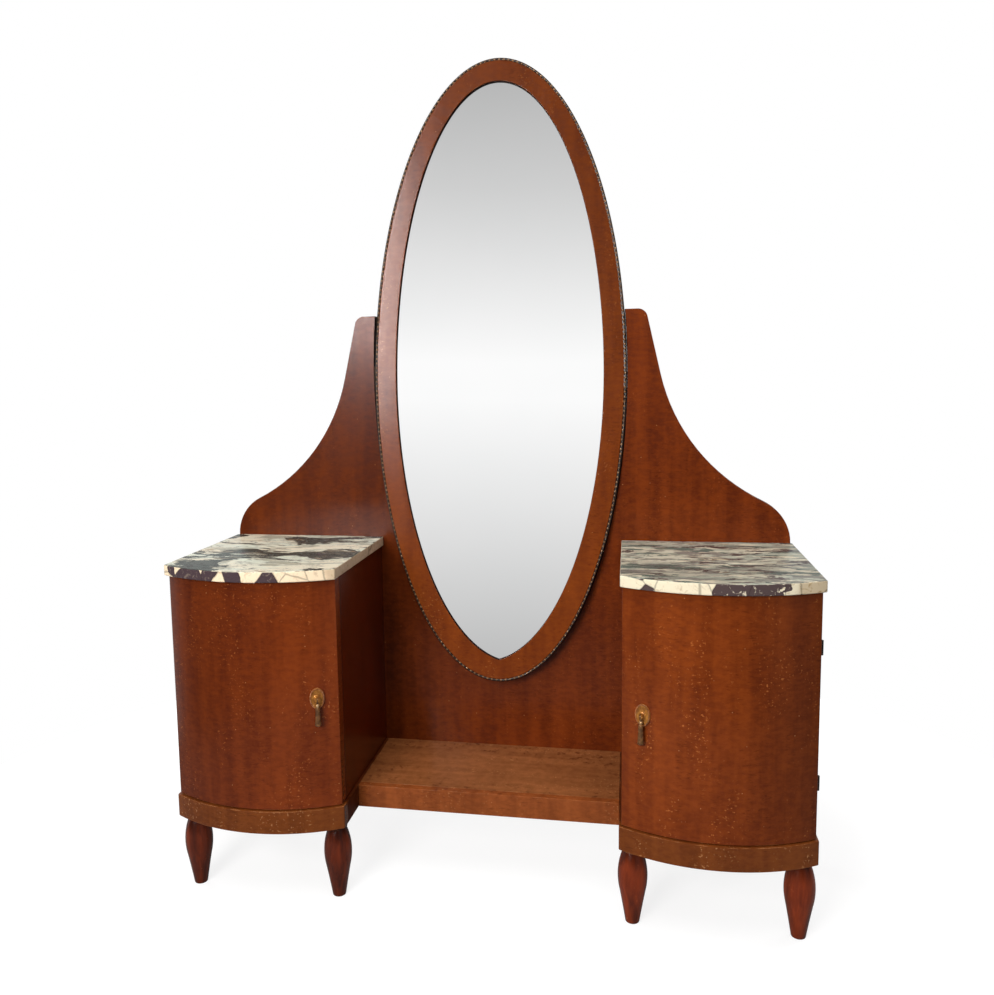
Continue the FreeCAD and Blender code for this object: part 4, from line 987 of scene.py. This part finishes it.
# What the glass shows, by height of the ray, and what rough gloss shows, by its heading in degrees
surround = {"ambient": 0.20, "sweepSpan": (-0.5, 0.5), "roomSpan": (-180, 180),
            "sweep": ((-0.46, 1.0), (-0.19, 0.525), (-0.012, 0.824), (0.10, 1.0), (0.14, 1.0),
                      (0.21, 0.865), (0.319, 0.643), (0.44, 0.46)),
            "room": ((-180, 0.5), (-115, 1.0), (-90, 1.3), (-80, 0.25), (-60, 0.06), (20, 0.05),
                     (42, 0.30), (60, 0.30), (75, 0.08), (120, 0.3), (180, 0.5))}


def greyRamp(tree, value, stops, low, high):
    share = maths(tree, "DIVIDE", maths(tree, "SUBTRACT", value, low), high - low)
    ramp = addNode(tree, "ValToRGB", {"Fac": share})
    elements = ramp.color_ramp.elements
    while len(elements) < len(stops):
        elements.new(0.5)
    for element, (at, level) in zip(elements, stops):
        element.position = (at - low) / (high - low)
        element.color = (level, level, level, 1)
    return ramp.outputs["Color"]


def makeSurround():
    world = bpy.data.worlds.new("paleStudio")
    scene.world = world
    world.use_nodes = True
    tree = world.node_tree
    heading = parted(tree, addNode(tree, "TexCoord", {}).outputs["Generated"])
    rays = rayKinds(tree)
    white = (1, 1, 1, 1)
    sweep = greyRamp(tree, heading["Z"], surround["sweep"], *surround["sweepSpan"])
    ahead = maths(tree, "LESS_THAN", heading["Y"], 0.0)
    mirrored = mixColour(tree, ahead, white, sweep)
    turn = maths(tree, "ARCTAN2", heading["X"], times(tree, heading["Y"], -1.0))
    room = greyRamp(tree, maths(tree, "DEGREES", turn), surround["room"], *surround["roomSpan"])
    level = surround["ambient"]
    lit = mixColour(tree, rays["gloss"], (level, level, level, 1), room)
    shown = mixColour(tree, rays["clear"], lit, mirrored)
    seen = mixColour(tree, rays["camera"], shown, white)
    feed(tree, tree.nodes["Background"].inputs["Color"], seen)


# Broad lamps that only light
lamps = {
    "key": {"at": (-0.95, -2.85, 1.6), "aim": (0, 0, 0.5), "size": (1.1, 1.3), "power": 78,
            "colour": (1.0, 0.985, 0.965)},
    "ceiling": {"at": (0, -1.2, 3.4), "aim": (0, 0, 0.4), "size": (2.6, 2.0), "power": 68,
                "colour": (1.0, 1.0, 1.0)},
}
for side, sign in sides.items():
    lamps["back" + side.capitalize()] = {"at": (2.6 * sign, 1.75, 0.70), "aim": (0, 0.1, 0.70),
                                         "size": (1.2, 1.0), "power": 52, "colour": (1.0, 1.0, 1.0)}


def lookingAt(look):    # the place of a lamp that looks at its aim
    aim = Vector(look["aim"]) - Vector(look["at"])
    return Matrix.Translation(look["at"]) @ aim.to_track_quat("-Z", "Y").to_matrix().to_4x4()


def makeLamps():
    for name, look in lamps.items():
        data = bpy.data.lights.new(name, "AREA")
        data.shape = "RECTANGLE"
        data.size, data.size_y = look["size"]
        data.energy = look["power"]
        data.color = look["colour"]
        lamp = bpy.data.objects.new(name, data)
        lamp.matrix_world = lookingAt(look)
        lamp.visible_glossy = False
        lamp.visible_camera = False
        scene.collection.objects.link(lamp)


# A tall bright window that the varnish and the metal show, and the mirror looks through
window = {"at": (-1.345, -3.17, 2.10), "aim": (-0.25, 0.17, 1.6), "size": (0.42, 1.6), "level": 56.8,
          "colour": (0.97, 0.985, 1.0, 1)}


def makeWindow():
    material = bpy.data.materials.new("brightWindow")
    material.use_nodes = True
    tree = material.node_tree
    tree.nodes.clear()
    feeds = {"Color": window["colour"], "Strength": window["level"]}
    glow = addNode(tree, "Emission", feeds).outputs[0]
    through = addNode(tree, "BsdfTransparent", {}).outputs[0]
    shown = addNode(tree, "MixShader", {0: rayKinds(tree)["clear"], 1: glow, 2: through}).outputs[0]
    addNode(tree, "OutputMaterial", {"Surface": shown})
    bm = bmesh.new()
    bmesh.ops.create_grid(bm, x_segments=1, y_segments=1, size=0.5)
    bmesh.ops.scale(bm, vec=(*window["size"], 1), verts=bm.verts)
    bmesh.ops.transform(bm, matrix=lookingAt(window), verts=bm.verts)
    pane = meshObject("window", bm, material)
    pane.visible_camera = False
    pane.visible_diffuse = False
    pane.visible_shadow = False


# The view, fitted to the picture's 994 by 995 frame (degrees, metres)
view = {"at": (0.29316, -1.86627, 1.08474), "yaw": 10.66, "pitch": 6.51, "roll": 0.98, "lens": 32.659,
        "sensor": 36.0, "shift": (0.03718, -0.01965)}


def makeCamera():
    data = bpy.data.cameras.new("viewCamera")
    data.sensor_fit = "HORIZONTAL"
    data.sensor_width = view["sensor"]
    data.lens = view["lens"]
    data.shift_x, data.shift_y = view["shift"]
    camera = bpy.data.objects.new("viewCamera", data)
    yaw, pitch, roll = (math.radians(view[part]) for part in ("yaw", "pitch", "roll"))
    turn = Matrix.Rotation(yaw, 4, "Z") @ Matrix.Rotation(math.pi / 2 - pitch, 4, "X")
    camera.matrix_world = Matrix.Translation(view["at"]) @ turn @ Matrix.Rotation(-roll, 4, "Z")
    scene.collection.objects.link(camera)
    scene.camera = camera


makeFloor()
makeSurround()
makeLamps()
makeWindow()
makeCamera()
scene.view_settings.view_transform = "Standard"
print("studio ready")
